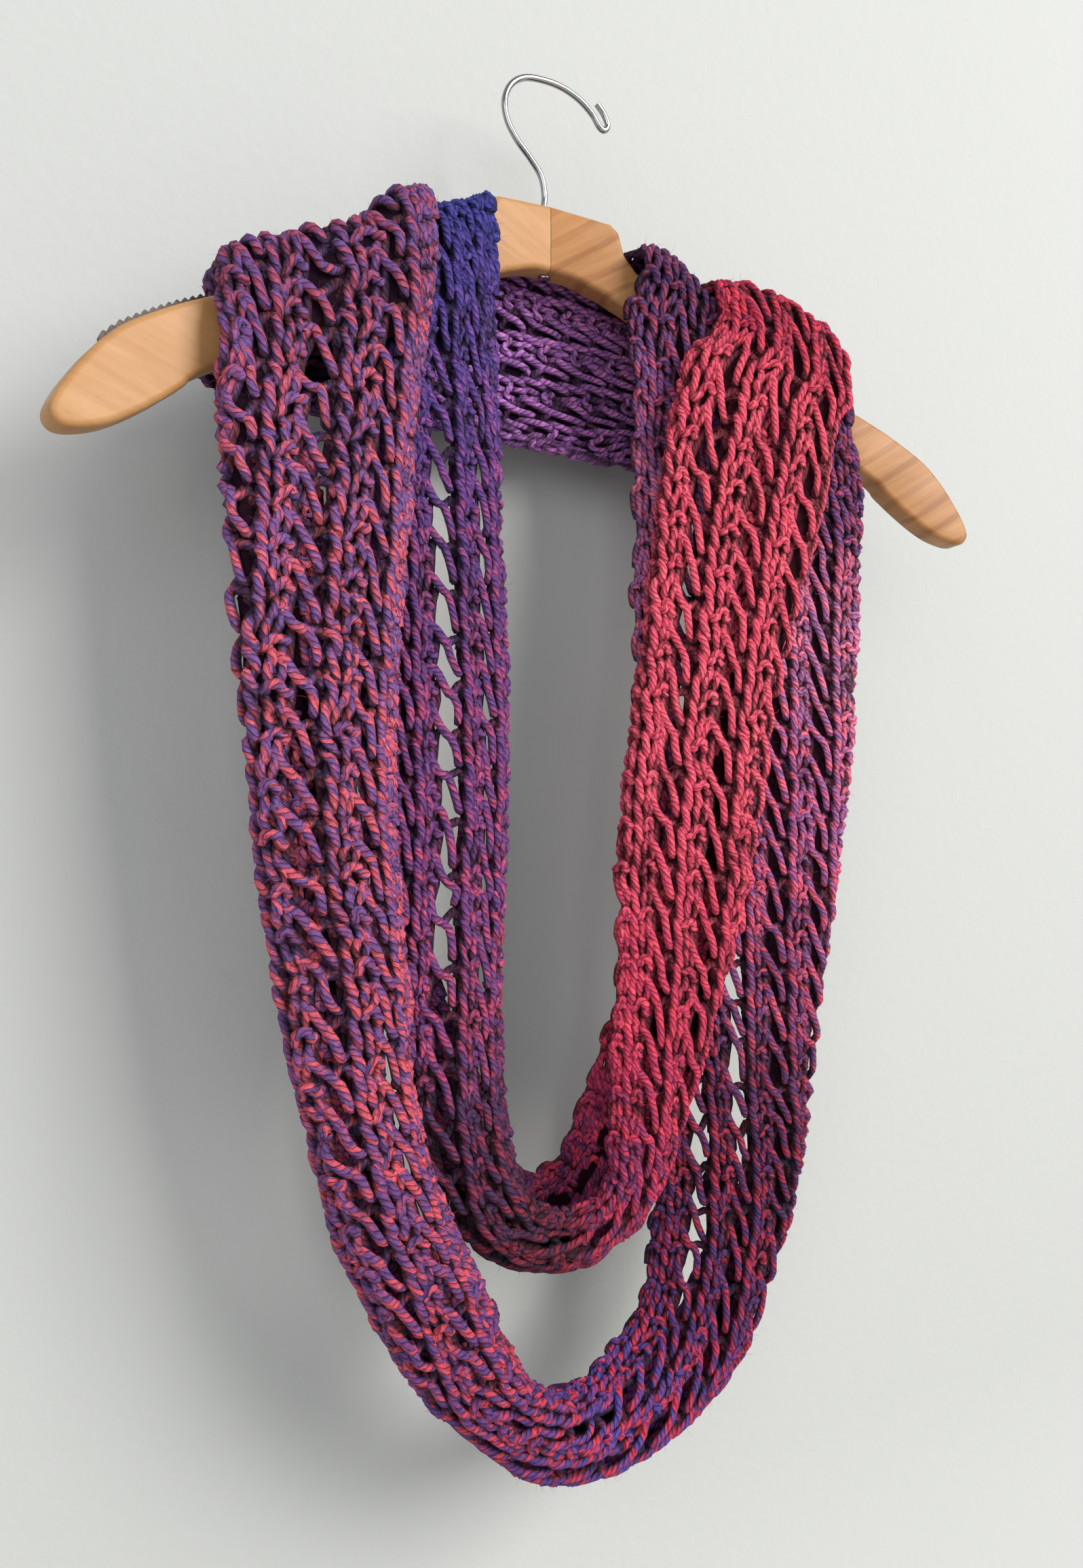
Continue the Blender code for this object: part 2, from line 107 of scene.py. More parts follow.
def new_group(name, inputs, outputs):
    """An empty node group; inputs are (name, kind, default), outputs (name, kind)."""
    tree = bpy.data.node_groups.new(name, "ShaderNodeTree")
    for label, kind, default in inputs:
        tree.interface.new_socket(name=label, in_out="INPUT",
                                  socket_type="NodeSocket" + kind).default_value = default
    for label, kind in outputs:
        tree.interface.new_socket(name=label, in_out="OUTPUT", socket_type="NodeSocket" + kind)
    return tree, tree.nodes.new("NodeGroupInput").outputs, tree.nodes.new("NodeGroupOutput")


def compute(tree, operation, *values, clamp=False):
    return add_node(tree, "Math", dict(enumerate(values)), operation=operation,
                    use_clamp=clamp).outputs[0]


def smooth_range(tree, value, low, high, to_low=0.0, to_high=1.0):
    return add_node(tree, "MapRange", {"Value": value, "From Min": low, "From Max": high,
                                       "To Min": to_low, "To Max": to_high},
                    interpolation_type="SMOOTHSTEP").outputs[0]


def object_place(tree):
    return add_node(tree, "TexCoord").outputs["Object"]


def noise(tree, vector, scale, detail=2.0, roughness=0.5):
    return add_node(tree, "TexNoise", {"Vector": vector, "Scale": scale, "Detail": detail,
                                       "Roughness": roughness}).outputs["Fac"]


def bump(tree, height, strength, distance):
    return add_node(tree, "Bump", {"Height": height, "Strength": strength,
                                   "Distance": distance * MM}).outputs["Normal"]


def mix_colour(tree, factor, first, second, blend="MIX"):
    return add_node(tree, "Mix", {0: factor, 6: first, 7: second}, data_type="RGBA",
                    blend_type=blend).outputs[2]


def darken(tree, colour, tone):
    grey = add_node(tree, "CombineColor", {0: tone, 1: tone, 2: tone})
    return mix_colour(tree, 1.0, colour, grey.outputs[0], "MULTIPLY")


def catmull(a, b, c, d, t):
    """The point at share t of the way from b to c, on the smooth curve from a to d."""
    return 0.5 * (2 * b + (c - a) * t + (2 * a - 5 * b + 4 * c - d) * t ** 2
                  + (3 * b - a - 3 * c + d) * t ** 3)


def catmull_line(points, steps):
    """A smooth run through a list of positions, with even steps between two of them."""
    knots = [Vector(p) for p in points]
    knots = [knots[0] * 2 - knots[1]] + knots + [knots[-1] * 2 - knots[-2]]
    run = [catmull(*knots[index - 1:index + 3], step / steps)
           for index in range(1, len(knots) - 2) for step in range(steps)]
    return run + [knots[-2]]


def add_object(name, data):
    obj = bpy.data.objects.new(name, data)
    bpy.context.scene.collection.objects.link(obj)
    return obj


def shape_of_curve(curve, points, closed):
    """Draws the curve through points; gives its mesh, and a shape to go on working on."""
    spline = curve.splines.new("POLY")
    spline.points.add(len(points) - 1)
    for point, place in zip(spline.points, points):
        point.co = (*place, 1.0)
    spline.use_cyclic_u = closed
    pattern = add_object(curve.name, curve)
    mesh = bpy.data.meshes.new_from_object(
        pattern.evaluated_get(bpy.context.evaluated_depsgraph_get()))
    bpy.data.objects.remove(pattern, do_unlink=True)
    shape = bmesh.new()
    shape.from_mesh(mesh)
    bmesh.ops.remove_doubles(shape, verts=shape.verts, dist=TOUCHING)
    return mesh, shape


def add_shape(name, mesh, shape, sharp_angle):
    bmesh.ops.recalc_face_normals(shape, faces=shape.faces)
    shape.to_mesh(mesh)
    shape.free()
    mesh.name = name
    mesh.shade_smooth()
    mesh.set_sharp_from_angle(angle=math.radians(sharp_angle))
    return add_object(name, mesh)


def cut_board(name, side):
    """Extrudes the outline, rounds its rims, turns it to its sweep and mitres it at x = 0."""
    outline = [Vector(p) for p in BOARD_TOP[:-1]] + catmull_line(BOARD_TIP, CURVE_STEPS)
    curve = bpy.data.curves.new("board outline", "CURVE")
    curve.dimensions = "2D"
    curve.fill_mode = "BOTH"
    curve.extrude = BOARD_THICKNESS / 2 * MM
    mesh, shape = shape_of_curve(
        curve, [(x * MM, (y - BLOCK_DROP) * MM, 0.0) for x, y in outline], closed=True)
    bmesh.ops.dissolve_limit(
        shape, angle_limit=FLAT_BELOW, verts=shape.verts,
        edges=[edge for edge in shape.edges if edge.calc_face_angle(1.0) < FLAT_BELOW])
    rims = [edge for edge in shape.edges if edge.calc_face_angle(0.0) > RIM_ABOVE]
    bmesh.ops.bevel(shape, geom=rims, offset=BOARD_EDGE_ROUND * MM, segments=BOARD_EDGE_STEPS,
                    profile=0.5, affect="EDGES", clamp_overlap=True)
    along = Vector((side * math.cos(BOARD_SWEEP), -math.sin(BOARD_SWEEP), 0.0))
    outward = Vector((along.y, -along.x, 0.0)) * side
    for vertex in shape.verts:
        distance, height, across = vertex.co
        vertex.co = along * distance + Vector((0, 0, height)) + outward * across
    bmesh.ops.bisect_plane(shape, geom=shape.verts[:] + shape.edges[:] + shape.faces[:],
                           plane_co=(side * MITRE_GAP * MM, 0, 0), plane_no=(side, 0, 0),
                           clear_inner=True)
    bmesh.ops.holes_fill(shape, edges=[edge for edge in shape.edges if edge.is_boundary])
    return add_shape(name, mesh, shape, sharp_angle=28)


def make_maple_grain():
    """Plain maple: broad bands, fine streaks and growth rings along the board, and pores."""
    tree, entry, leave = new_group(
        "maple grain", [("Tilt", "Float", 0.0), ("Light", "Color", (1, 1, 1, 1)),
                        ("Dark", "Color", (0, 0, 0, 1)), ("Figure", "Float", 0.5)],
        [("Color", "Color"), ("Height", "Float"), ("Roughness", "Float")])
    turned = add_node(tree, "VectorRotate", {"Vector": object_place(tree), "Angle": entry["Tilt"]},
                      rotation_type="Y_AXIS").outputs["Vector"]

    def stretched(*scale):
        return add_node(tree, "Mapping", {"Vector": turned, "Scale": scale}).outputs["Vector"]

    bands = noise(tree, stretched(5, 30, 55), 1.6, 3.0, 0.55)
    streaks = noise(tree, stretched(9, 90, 260), 2.0, 4.0, 0.6)
    pores = noise(tree, stretched(160, 900, 1500), 1.0)
    rings = add_node(tree, "TexWave", {"Vector": stretched(0.35, 1.0, 1.0), "Scale": 26.0,
                                       "Distortion": 5.0, "Detail": 3.0, "Detail Scale": 0.9},
                     wave_type="BANDS", bands_direction="Z").outputs["Fac"]
    figure = compute(tree, "MULTIPLY", smooth_range(tree, rings, 0.62, 0.98), entry["Figure"])
    weight = compute(tree, "MULTIPLY_ADD", streaks, 0.5, compute(tree, "MULTIPLY", bands, 0.95))
    weight = compute(tree, "MULTIPLY_ADD", smooth_range(tree, weight, 0.5, 0.98), 0.55, figure,
                     clamp=True)
    colour = mix_colour(tree, weight, entry["Light"], entry["Dark"])
    feed(tree, leave, {
        "Color": darken(tree, colour, smooth_range(tree, pores, 0.62, 0.75, 1.0, 0.86)),
        "Height": streaks, "Roughness": smooth_range(tree, bands, 0.3, 0.8, 0.42, 0.55)})
    return tree


maple_grain = make_maple_grain()
BOARD_FINISHES = (
    # side, piece, node, grain's tilt, light and dark colour, how strong the growth rings are
    (-1, "maple_board_left", "hanger_left", -0.32, (186, 138, 89), (160, 110, 63), 0.10),
    (1, "maple_board_right", "hanger_right", 0.52, (182, 130, 80), (142, 90, 47), 0.42),
)
for side, name, node, tilt, light, dark, figure in BOARD_FINISHES:
    board = cut_board(name, side)
    lacquer, tree, shader = new_material(name + " lacquer")
    grain = add_node(tree, "Group", {"Tilt": tilt, "Light": linear(*light), "Dark": linear(*dark),
                                     "Figure": figure}, node_tree=maple_grain).outputs
    feed(tree, shader, {"Base Color": grain["Color"], "Roughness": grain["Roughness"],
                        "Normal": bump(tree, grain["Height"], 0.04, 0.5),
                        "Specular IOR Level": 0.25, "Coat Weight": 0.12, "Coat Roughness": 0.30})
    board.data.materials.clear()
    board.data.materials.append(lacquer)
    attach(board, "root")
    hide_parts(node)


# ------------------------------------------------ the hook and its nut
# Bright 3 mm steel wire, bent cold: it swings left, arches over and ends in a short hairpin.
# Its shank is drilled through the joint and held below by a small pressed nut.

HOOK_WIRE = 3.0
HOOK_STEPS = 8                     # points between two marks of its route
NUT_ACROSS = 6.0
NUT_HEIGHT = 1.6
NUT_EDGE = 0.25
NUT_TURN = 0.2                     # radians
HOOK_ROUTE = ((0, -21), (0, 0), (0.3, 8), (-1.5, 16), (-7, 23), (-14, 30), (-19, 38), (-20.3, 47),
              (-17, 55), (-10, 60), (0, 61.5), (10, 60.8), (19, 57.6), (26, 52.5), (30, 47.5),
              (32.8, 46.6), (34.6, 49.4), (32.6, 54.0), (28.6, 58.2))

wire = bpy.data.curves.new("hook wire", "CURVE")
wire.dimensions = "3D"
wire.bevel_depth = HOOK_WIRE / 2 * MM
wire.bevel_resolution = 6
wire.use_fill_caps = True
route = catmull_line([(x, 0.0, z) for x, z in HOOK_ROUTE], HOOK_STEPS)
hook = add_shape("hook_wire", *shape_of_curve(
    wire, [(x * MM, y * MM, (z - BLOCK_DROP) * MM) for x, y, z in route], closed=False),
    sharp_angle=50)

for obj in bpy.context.selected_objects:
    obj.select_set(False)
bpy.ops.mesh.primitive_cylinder_add(
    vertices=6, radius=NUT_ACROSS / 2 * MM, depth=NUT_HEIGHT * MM, rotation=(0, 0, NUT_TURN),
    location=(0, 0, (-BLOCK_HEIGHT - BLOCK_DROP - NUT_HEIGHT / 2) * MM))
nut = bpy.context.object
nut.name = "shank_nut"
bpy.ops.object.mode_set(mode="EDIT")
bpy.ops.mesh.select_all(action="SELECT")
bpy.ops.mesh.bevel(offset=NUT_EDGE * MM, segments=2, affect="EDGES")
bpy.ops.object.mode_set(mode="OBJECT")
bpy.ops.object.transform_apply(location=True, rotation=True, scale=True)
bpy.ops.object.shade_smooth_by_angle(angle=math.radians(35))

steel, tree, shader = new_material("bright bent steel")
place = object_place(tree)
drawn = add_node(tree, "Mapping", {"Vector": place, "Scale": (1.0, 1.0, 0.25)})
marks = noise(tree, drawn.outputs["Vector"], 700.0, 3.0, 0.6)
feed(tree, shader, {
    "Metallic": 1.0, "Roughness": smooth_range(tree, marks, 0.3, 0.8, 0.12, 0.30),
    "Base Color": mix_colour(tree, noise(tree, place, 60.0), linear(142, 142, 145),
                             linear(184, 182, 178)),
    "Normal": bump(tree, marks, 0.05, 0.2)})
for piece in (hook, nut):
    piece.data.materials.clear()
    piece.data.materials.append(steel)
    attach(piece, "root")
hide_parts("hook")


# ------------------------------------------------ the grip strips
# A thin ribbed strip of dark brown rubber stands in a groove along the top of each arm's end,
# so that straps don't slide off. Its shape is the solid's own; it only gets its finish here.

rubber, tree, shader = new_material("brown ribbed rubber")
dust = noise(tree, object_place(tree), 900.0, 4.0, 0.6)
feed(tree, shader, {
    "Base Color": mix_colour(tree, smooth_range(tree, dust, 0.4, 0.75), linear(62, 44, 34),
                             linear(112, 90, 72)),
    "Roughness": 0.55, "Normal": bump(tree, dust, 0.3, 0.2)})
for name in ("grip_left", "grip_right"):
    for material_slot in bpy.data.objects[name].material_slots:
        material_slot.material = rubber


# ------------------------------------------------ the knitted strip's form
# One closed strip of knitting runs twice round the hanger. Each row is a section across it: the
# inner selvage, the face's outermost line, and how the cloth bows, curls and folds back there.

HEM_ROUND = 3.5            # bend radius where the inner selvage curls back
RIDGE_PLACE = 0.12         # of the face's width
RIDGE_SPREAD = 0.14
ARM_TOP_AT_ZERO = -4.5     # straight run of the arm's top edge, carried back to the joint
ARM_TOP_SLOPE = -0.5
FACE_POINTS, FOLD_POINTS, CURL_POINTS = 25, 9, 7
SLOPE_STEP = 0.02          # of a section, either way, to find the strip's heading


def over_arm(in_x, out_x, in_lift, out_lift, bow, ridge, hem, bend, tuck, back_turn=0.7,
             front_in_drop=10.0, front_out_drop=12.0, from_back=True):
    """Five sections that carry the strip over an arm, from back to front or the other way."""
    half = BOARD_THICKNESS / 2
    in_corner, out_corner = 0.8 * in_lift - 0.2 * half, 0.8 * out_lift - 0.2 * half
    side = math.copysign(1.0, in_x)
    stations = (
        # inset of the inner end, shift back of the inner and the outer end, in board halves,
        # rise of the two over the arm, share of the ridge
        (2.0, 1.1, 1.15, in_lift, -22.0, 0.3),
        (2.0, back_turn, 0.86, in_lift, out_corner, 0.7),
        (0.0, 0.0, 0.0, in_lift, out_lift, 1.0),
        (0.0, -0.86, -0.86, in_corner, out_corner, 1.0),
        (0.0, -1.05, -1.05, -front_in_drop, -front_out_drop, 0.8),
    )
    rows = []
    for inset, in_shift, out_shift, in_rise, out_rise, share in stations:
        ends = []
        for x, lift, shift, rise in ((in_x + side * inset, in_lift, in_shift, in_rise),
                                     (out_x, out_lift, out_shift, out_rise)):
            along = abs(x) / math.cos(BOARD_SWEEP)
            ends += [x, -along * math.sin(BOARD_SWEEP) + shift * (half + lift),
                     ARM_TOP_AT_ZERO + ARM_TOP_SLOPE * along + rise]
        rows.append((*ends, bow, ridge * share, hem, bend, tuck))
    return rows if from_back else rows[::-1]


# Each stretch's name, millimetres between two rows, yarn, and sections: inner x, y, z,
# outer x, y, z, bow, ridge, hem, bend, tuck.
STRETCHES = (
    ("neck_band", 9.5, "yarn_violet_plum", (
        (-22, 13, -3, -30, 16, -105, 0, 0, 0, 4, 13),
        (-5, 13, -6, 6, 17, -106, 0, 0, 0, 4, 10),
        (10, 12, -9, 52, 15, -110, 0, 0, 0, 4, 4),
    )),
    ("right_shoulder_under", 9.6, "yarn_purple_blue", [
        (26, 10, -14, 102, 7, -112, 0, 0.5, 0, 4, 0),
    ] + over_arm(41, 150, 7.5, 4.5, 0, 4.5, 0, 4, 0, front_in_drop=6.0)),
    ("outer_right", 9.8, "yarn_dark_crimson_purple", (
        (35, -22, -48, 151, -48, -118, 0, 2, 0, 4, 2),
        (37, -20, -84, 152, -46, -156, 0, 0, 0, 4, 8),
        (39, -19, -150, 150, -46, -204, 2, 0, 0, 5, 8),
        (40, -18, -225, 146, -46, -262, 3, 0, 0, 5, 12),
        (42, -18, -306, 135, -46, -330, 3, 0, 0, 6, 20),
        (48, -16, -388, 125, -44, -403, 3, 0, 0, 7, 30),
        (53, -14, -457, 118, -42, -459, 3, 0, 0, 9, 42),
    )),
    ("outer_bottom", 9.4, "yarn_crimson_purple_blue", (
        (51, -12, -495, 104, -40, -503, 4, 0, 0, 11, 52),
        (40, -14, -523, 82, -41, -540, 5, 0, 0, 13, 62),
        (17, -22, -535, 47, -44, -562, 6, 0, 0, 14, 70),
        (-9, -34, -537, -1, -48, -568, 7, 0, 0, 14, 74),
        (-31, -44, -522, -41, -52, -545, 7, 0, 0, 14, 74),
        (-45, -48, -497, -70, -54, -519, 6, 0, 0, 12, 70),
    )),
    ("outer_left", 9.3, "yarn_coral_purple", (
        (-61, -50, -461, -95, -55, -481, 5, 0, 0, 9, 52),
        (-75, -50, -430, -111, -56, -445, 5, 0, 0, 7, 46),
        (-84, -48, -391, -123, -56, -402, 4, 0, 0, 6, 46),
        (-86, -44, -338, -135, -56, -347, 4, 0, 0, 5, 50),
        (-90, -41, -275, -143, -56, -284, 3, 0, 0, 5, 54),
        (-87, -39, -212, -150, -56, -226, 3, 0, 0, 4.5, 50),
        (-81, -38, -147, -154, -56, -170, 2, 0, 0, 4, 46),
        (-77, -38, -96, -157, -56, -134, 2, 1, 0, 4, 40),
    )),
    ("left_shoulder_over", 8.8, "yarn_purple_coral", over_arm(
        -73, -158, 16.8, 13.5, -2.0, 5, 0, 3.2, 30, front_in_drop=16.0, front_out_drop=26.0,
        from_back=False) + [
        (-50, 20, -24, -106, 17, -104, 0, 2, 0, 3.4, 16),
    ]),
    ("neck_band_hidden", 9.5, "yarn_red_purple", (
        (-20, 22, -11, -42, 26, -99, 0, 0, 0, 3.4, 9),
        (14, 22, -10, 18, 27, -98, 0, 0, 0, 3.4, 8),
        (46, 20, -18, 68, 26, -101, 0, 0, 0, 3.4, 12),
    )),
    ("right_shoulder_over", 9.4, "yarn_crimson_dark", [
        (61, 15, -26, 106, 16, -106, 2, 0, 0, 3.4, 24),
    ] + over_arm(74, 134, 12.8, 19.2, 6.5, 0, 0, 3.2, 36)),
    ("inner_right", 10.2, "yarn_crimson", (
        (59, -38, -68, 127, -58, -93, 4, 0, 6, 4, 42),
        (51, -38, -96, 123, -58, -114, 3, 0, 10, 4, 46),
        (42, -39, -135, 116, -57, -148, 3, 0, 11, 4.5, 46),
        (34, -40, -191, 100, -57, -200, 3, 0, 10, 5, 48),
        (26, -40, -244, 87, -56, -254, 3, 0, 8, 5.5, 50),
        (19, -41, -297, 79, -55, -308, 3, 0, 6, 6, 52),
        (15, -42, -349, 65, -54, -360, 3, 0, 3, 7, 56),
        (12, -42, -397, 49, -53, -408, 3, 0, 0, 9, 62),
    )),
    ("inner_bottom", 9.4, "yarn_plum_crimson", (
        (12, -43, -428, 37, -52, -439, 4, 0, 0, 11, 66),
        (7, -44, -448, 23, -52, -460, 4, 0, 0, 13, 70),
        (-9, -44, -454, -1, -52, -472, 4, 0, 0, 14, 72),
        (-23, -44, -450, -26, -51, -471, 4, 0, 0, 14, 72),
        (-33, -42, -438, -48, -50, -459, 4, 0, 0, 12, 68),
    )),
    ("inner_left", 10.0, "yarn_violet", (
        (-37, -38, -419, -62, -46, -440, 4, 0, 0, 10, 64),
        (-37, -33, -394, -72, -42, -411, 3, 0, 3, 8, 54),
        (-36, -29, -351, -86, -36, -360, 3, 0, 7, 6, 38),
        (-32, -26, -286, -93, -31, -295, 2, 0, 8, 4.5, 24),
        (-31, -24, -217, -97, -28, -227, 2, 0, 8, 4, 20),
        (-33, -22, -148, -99, -27, -164, 2, 0, 8, 4, 20),
        (-34, -21, -104, -98, -31, -132, 2, 0, 6, 4, 20),
        (-36, -23, -66, -96, -36, -104, 1, 0, 2, 3.4, 18),
    )),
    ("left_shoulder_under", 9.4, "yarn_blue", over_arm(
        -39, -92, 12.5, 10.4, 0, 0, 0, 3.0, 16, back_turn=0.6, front_in_drop=14.0,
        front_out_drop=30.0, from_back=False) + [
        (-31, 13, -6, -72, 8, -99, 0, 0, 0, 3.6, 15),
    ]),
)


def closed_run(position):
    """Rows between the table's own, run smoothly round the loop; position counts rows."""
    index = np.floor(position).astype(int)
    rows = (section_rows[(index + shift) % len(section_rows)] for shift in (-1, 0, 1, 2))
    return catmull(*rows, (position - index)[:, None])


def run_length(points):
    """How far along a line of points each of them lies."""
    return np.append(0.0, np.cumsum(np.linalg.norm(np.diff(points, axis=0), axis=1)))


def read_off(at, marks, values):
    """The columns of values, which belong to marks, at the places between them."""
    return np.stack([np.interp(at, marks, column) for column in values.T], axis=1)


def profile(width, bow, ridge, hem, bend, tuck, fractions):
    """Points across one section: distance from the inner line, height over the flat face."""
    face = np.linspace(0.0, 1.0, FACE_POINTS)
    reach = max(width - bend, 1.0)
    start = min(HEM_ROUND, hem)
    lift = 4 * bow * face * (1 - face) + ridge * np.exp(-((face - RIDGE_PLACE) / RIDGE_SPREAD) ** 4)
    points = list(zip(start + (reach - start) * face, lift))
    turn = np.linspace(0.0, min(math.pi, tuck / bend), FOLD_POINTS)[1:]
    points += [(reach + bend * math.sin(a), -bend * (1 - math.cos(a))) for a in turn]
    straight = tuck - math.pi * bend
    if straight > 0:
        behind = np.linspace(0.0, 1.0, FOLD_POINTS)[1:] * straight
        follow = np.minimum(behind / reach, 1.0)
        points += list(zip(reach - behind, 4 * bow * follow * (1 - follow) - 2 * bend))
    if hem > 0:
        curl = np.linspace(0.0, min(math.pi, hem / HEM_ROUND), CURL_POINTS)[1:]
        inner = [(start - HEM_ROUND * math.sin(a), -HEM_ROUND * (1 - math.cos(a))) for a in curl]
        points = inner[::-1] + points
    points = np.array(points)
    length = run_length(points)
    return read_off(fractions * length[-1], length, points)


section_rows = np.array([row for *_, rows in STRETCHES for row in rows], dtype=float)


def strip_points(position, fractions):
    """The cloth's middle surface: one line of points across it for each position."""
    here, ahead, behind = (closed_run(position + step) for step in (0, SLOPE_STEP, -SLOPE_STEP))
    heading = (ahead[:, 0:3] + ahead[:, 3:6]) - (behind[:, 0:3] + behind[:, 3:6])
    grid = np.empty((len(position), len(fractions), 3))
    for index, row in enumerate(here):
        span = row[3:6] - row[0:3]
        width = float(np.linalg.norm(span))
        span = span / width
        face = np.cross(heading[index], span)
        face = face / np.linalg.norm(face)
        bow, ridge, hem, bend, tuck = row[6:11]
        shape = profile(width, bow, ridge, max(hem, 0.0), bend, tuck, fractions)
        grid[index] = row[0:3] + shape[:, :1] * span + shape[:, 1:] * face
    return grid


# ------------------------------------------------ where the stitches lie
# The strip is twenty stitches wide: three at each selvage, and four ladders of two stitches
# (a yarn over and two knitted together) with two plain columns between them. A row is counted
# from the seam; the tables give the widths of the columns.

STITCHES = 20
LADDERS = (3, 7, 11, 15)           # first of each ladder's two columns
# Section rows at which the knitting's direction turns: up both left strands, and up both right
# ones, so that the ladders' slants all run the same way.
KNIT_UP_FROM_TO = ((18.6, 37.5), (55.2, 72.0))
# Relative widths of the selvage, ladder, knit and purl columns. The broad outer left strand is
# drawn wide over its inner half and close where it is folded back; its ladders drift inwards.
SELVAGE_WIDTH, LADDER_WIDTH, KNIT_WIDTH, PURL_WIDTH = 1.0, 1.0, 0.85, 1.15
DRAWN_CLOSE = 0.62                 # ladder width where the cloth is drawn close over the arms
DRAWN_CLOSE_STRETCHES = ("neck_band", "right_shoulder_under", "neck_band_hidden",
                         "left_shoulder_under")
DRAWN_WIDTHS = {
    "left_shoulder_over": (4.4, 4.8, 4.8, 5.8, 5.8, 11.2, 9.0, 7.0, 7.0, 7.6, 6.2, 4.2, 4.2,
                           5.8, 4.6, 4.0, 4.0, 4.4, 3.2, 2.6),
    "inner_left": (3.6, 3.6, 3.2, 3.3, 3.3, 5.2, 4.2, 6.4, 6.4, 5.2, 4.4, 3.4, 3.4, 5.0, 4.2,
                   3.6, 3.6, 4.4, 3.6, 3.6),
    "inner_right": (5.2, 5.0, 5.8, 4.4, 4.4, 5.6, 6.6, 5.6, 5.6, 5.0, 6.2, 5.6, 5.6, 4.6, 5.6,
                    4.8, 4.8, 4.6, 5.2, 4.8),
    "outer_left": (2.2, 2.6, 3.4, 4.7, 4.7, 8.3, 6.7, 6.5, 6.5, 8.2, 6.4, 4.7, 4.7, 5.9, 4.6,
                   3.9, 3.9, 4.5, 3.4, 2.9),
}
MARKS_PER_SECTION = 24

first_rows = {}                    # row at which each stretch starts
row_marks = [0.0]                  # section number of each row
section = 0
for name, row_height, _, rows in STRETCHES:
    first_rows[name] = len(row_marks) - 1
    fine = np.linspace(section, section + len(rows), len(rows) * MARKS_PER_SECTION + 1)
    ends = closed_run(fine)
    length = run_length((ends[:, 0:3] + ends[:, 3:6]) / 2)
    count = 2 * max(1, round(length[-1] / row_height / 2))
    row_marks += list(np.interp(np.arange(1, count + 1) * length[-1] / count, length, fine))
    section += len(rows)
ROWS = len(row_marks) - 1
SECTIONS = len(section_rows)


def section_at(row):
    """Section number for a knitted row, row 0 at the seam; both may run past the ends."""
    turns = np.floor(row / ROWS)
    return np.interp(row - turns * ROWS, np.arange(ROWS + 1), row_marks) + turns * SECTIONS


def knit_direction(row):
    section = section_at(row) % SECTIONS
    return 1 if any(low <= section < high for low, high in KNIT_UP_FROM_TO) else -1


def is_knit_column(column, upward):
    """Knit columns stand on one side of each ladder, purl columns on the other."""
    return column % 4 == (2 if upward > 0 else 1)


def column_edges(name, upward):
    """Share of the strip's width at each stitch's edge."""
    widths = []
    for column in range(STITCHES):
        if column in (0, STITCHES - 1):
            width = SELVAGE_WIDTH
        elif column in LADDERS or column - 1 in LADDERS:
            width = DRAWN_CLOSE if name in DRAWN_CLOSE_STRETCHES else LADDER_WIDTH
        else:
            width = KNIT_WIDTH if is_knit_column(column, upward) else PURL_WIDTH
        widths.append(width)
    edges = np.append(0.0, np.cumsum(DRAWN_WIDTHS.get(name, widths)))
    return edges / edges[-1]


# A fine grid over the whole strip, four lines a row; stitches are laid on it.
GRID_STEPS = 4
GRID_COLUMNS = 80
GRID_MARGIN = 3                    # rows before the first and after the last
grid_rows = np.arange(-GRID_MARGIN * GRID_STEPS, (ROWS + GRID_MARGIN) * GRID_STEPS + 1) / GRID_STEPS
grid_points = strip_points(section_at(grid_rows), np.linspace(0, 1, GRID_COLUMNS + 1))
grid_normals = np.cross(np.gradient(grid_points, axis=0), np.gradient(grid_points, axis=1))
grid_normals /= np.linalg.norm(grid_normals, axis=2, keepdims=True)

# Behind the hanger the strip shows its other side, so its relief is turned round there: 1 where
# the form's own outer side looks to the front, -1 where it looks to the back.
TURN_ROUND = -5.0                  # how soon it changes over as the cloth's face turns
face_columns = slice(GRID_COLUMNS // 5, GRID_COLUMNS * 3 // 5)
seen_side = np.clip(TURN_ROUND * grid_normals[:, face_columns, 1].mean(axis=1), -1.0, 1.0)

# The columns' edges on each line of the grid; their widths run into each other over 16 rows.
BLEND_LINES = 64
kernel = np.hanning(BLEND_LINES + 2)[1:-1]
kernel /= kernel.sum()
edge_table = []
for row in grid_rows:
    owner = max((mark, name) for name, mark in first_rows.items() if mark <= row % ROWS + 1e-9)[1]
    edge_table.append(column_edges(owner, knit_direction(row)))
padded = np.pad(edge_table, ((BLEND_LINES, BLEND_LINES), (0, 0)), mode="edge")
edge_table = np.stack([np.convolve(column, kernel, mode="same")[BLEND_LINES:-BLEND_LINES]
                       for column in padded.T], axis=1)

UNEVEN = np.random.default_rng(7).normal(0.0, 1.0, (3, ROWS + 2 * GRID_MARGIN + 2, STITCHES + 3))
UNEVEN_STITCH, UNEVEN_ROW, UNEVEN_DEPTH = 0.20, 0.19, 0.7    # stitches, rows, millimetres


def between(table, i, j, s, t):
    """The table's value at share s from line i to the next and t from column j to the next."""
    return ((table[i, j] * (1 - t) + table[i, j + 1] * t) * (1 - s)
            + (table[i + 1, j] * (1 - t) + table[i + 1, j + 1] * t) * s)


def uneven(kind, stitch, row):
    """Smooth irregularity of hand knitting, the same for all yarn that passes a place."""
    x = np.clip(stitch + 1, 0, STITCHES + 1.999)
    y = np.clip(row + GRID_MARGIN, 0, ROWS + 2 * GRID_MARGIN + 0.999)
    i, j = y.astype(int), x.astype(int)
    return between(UNEVEN[kind], i, j, y - i, x - j)


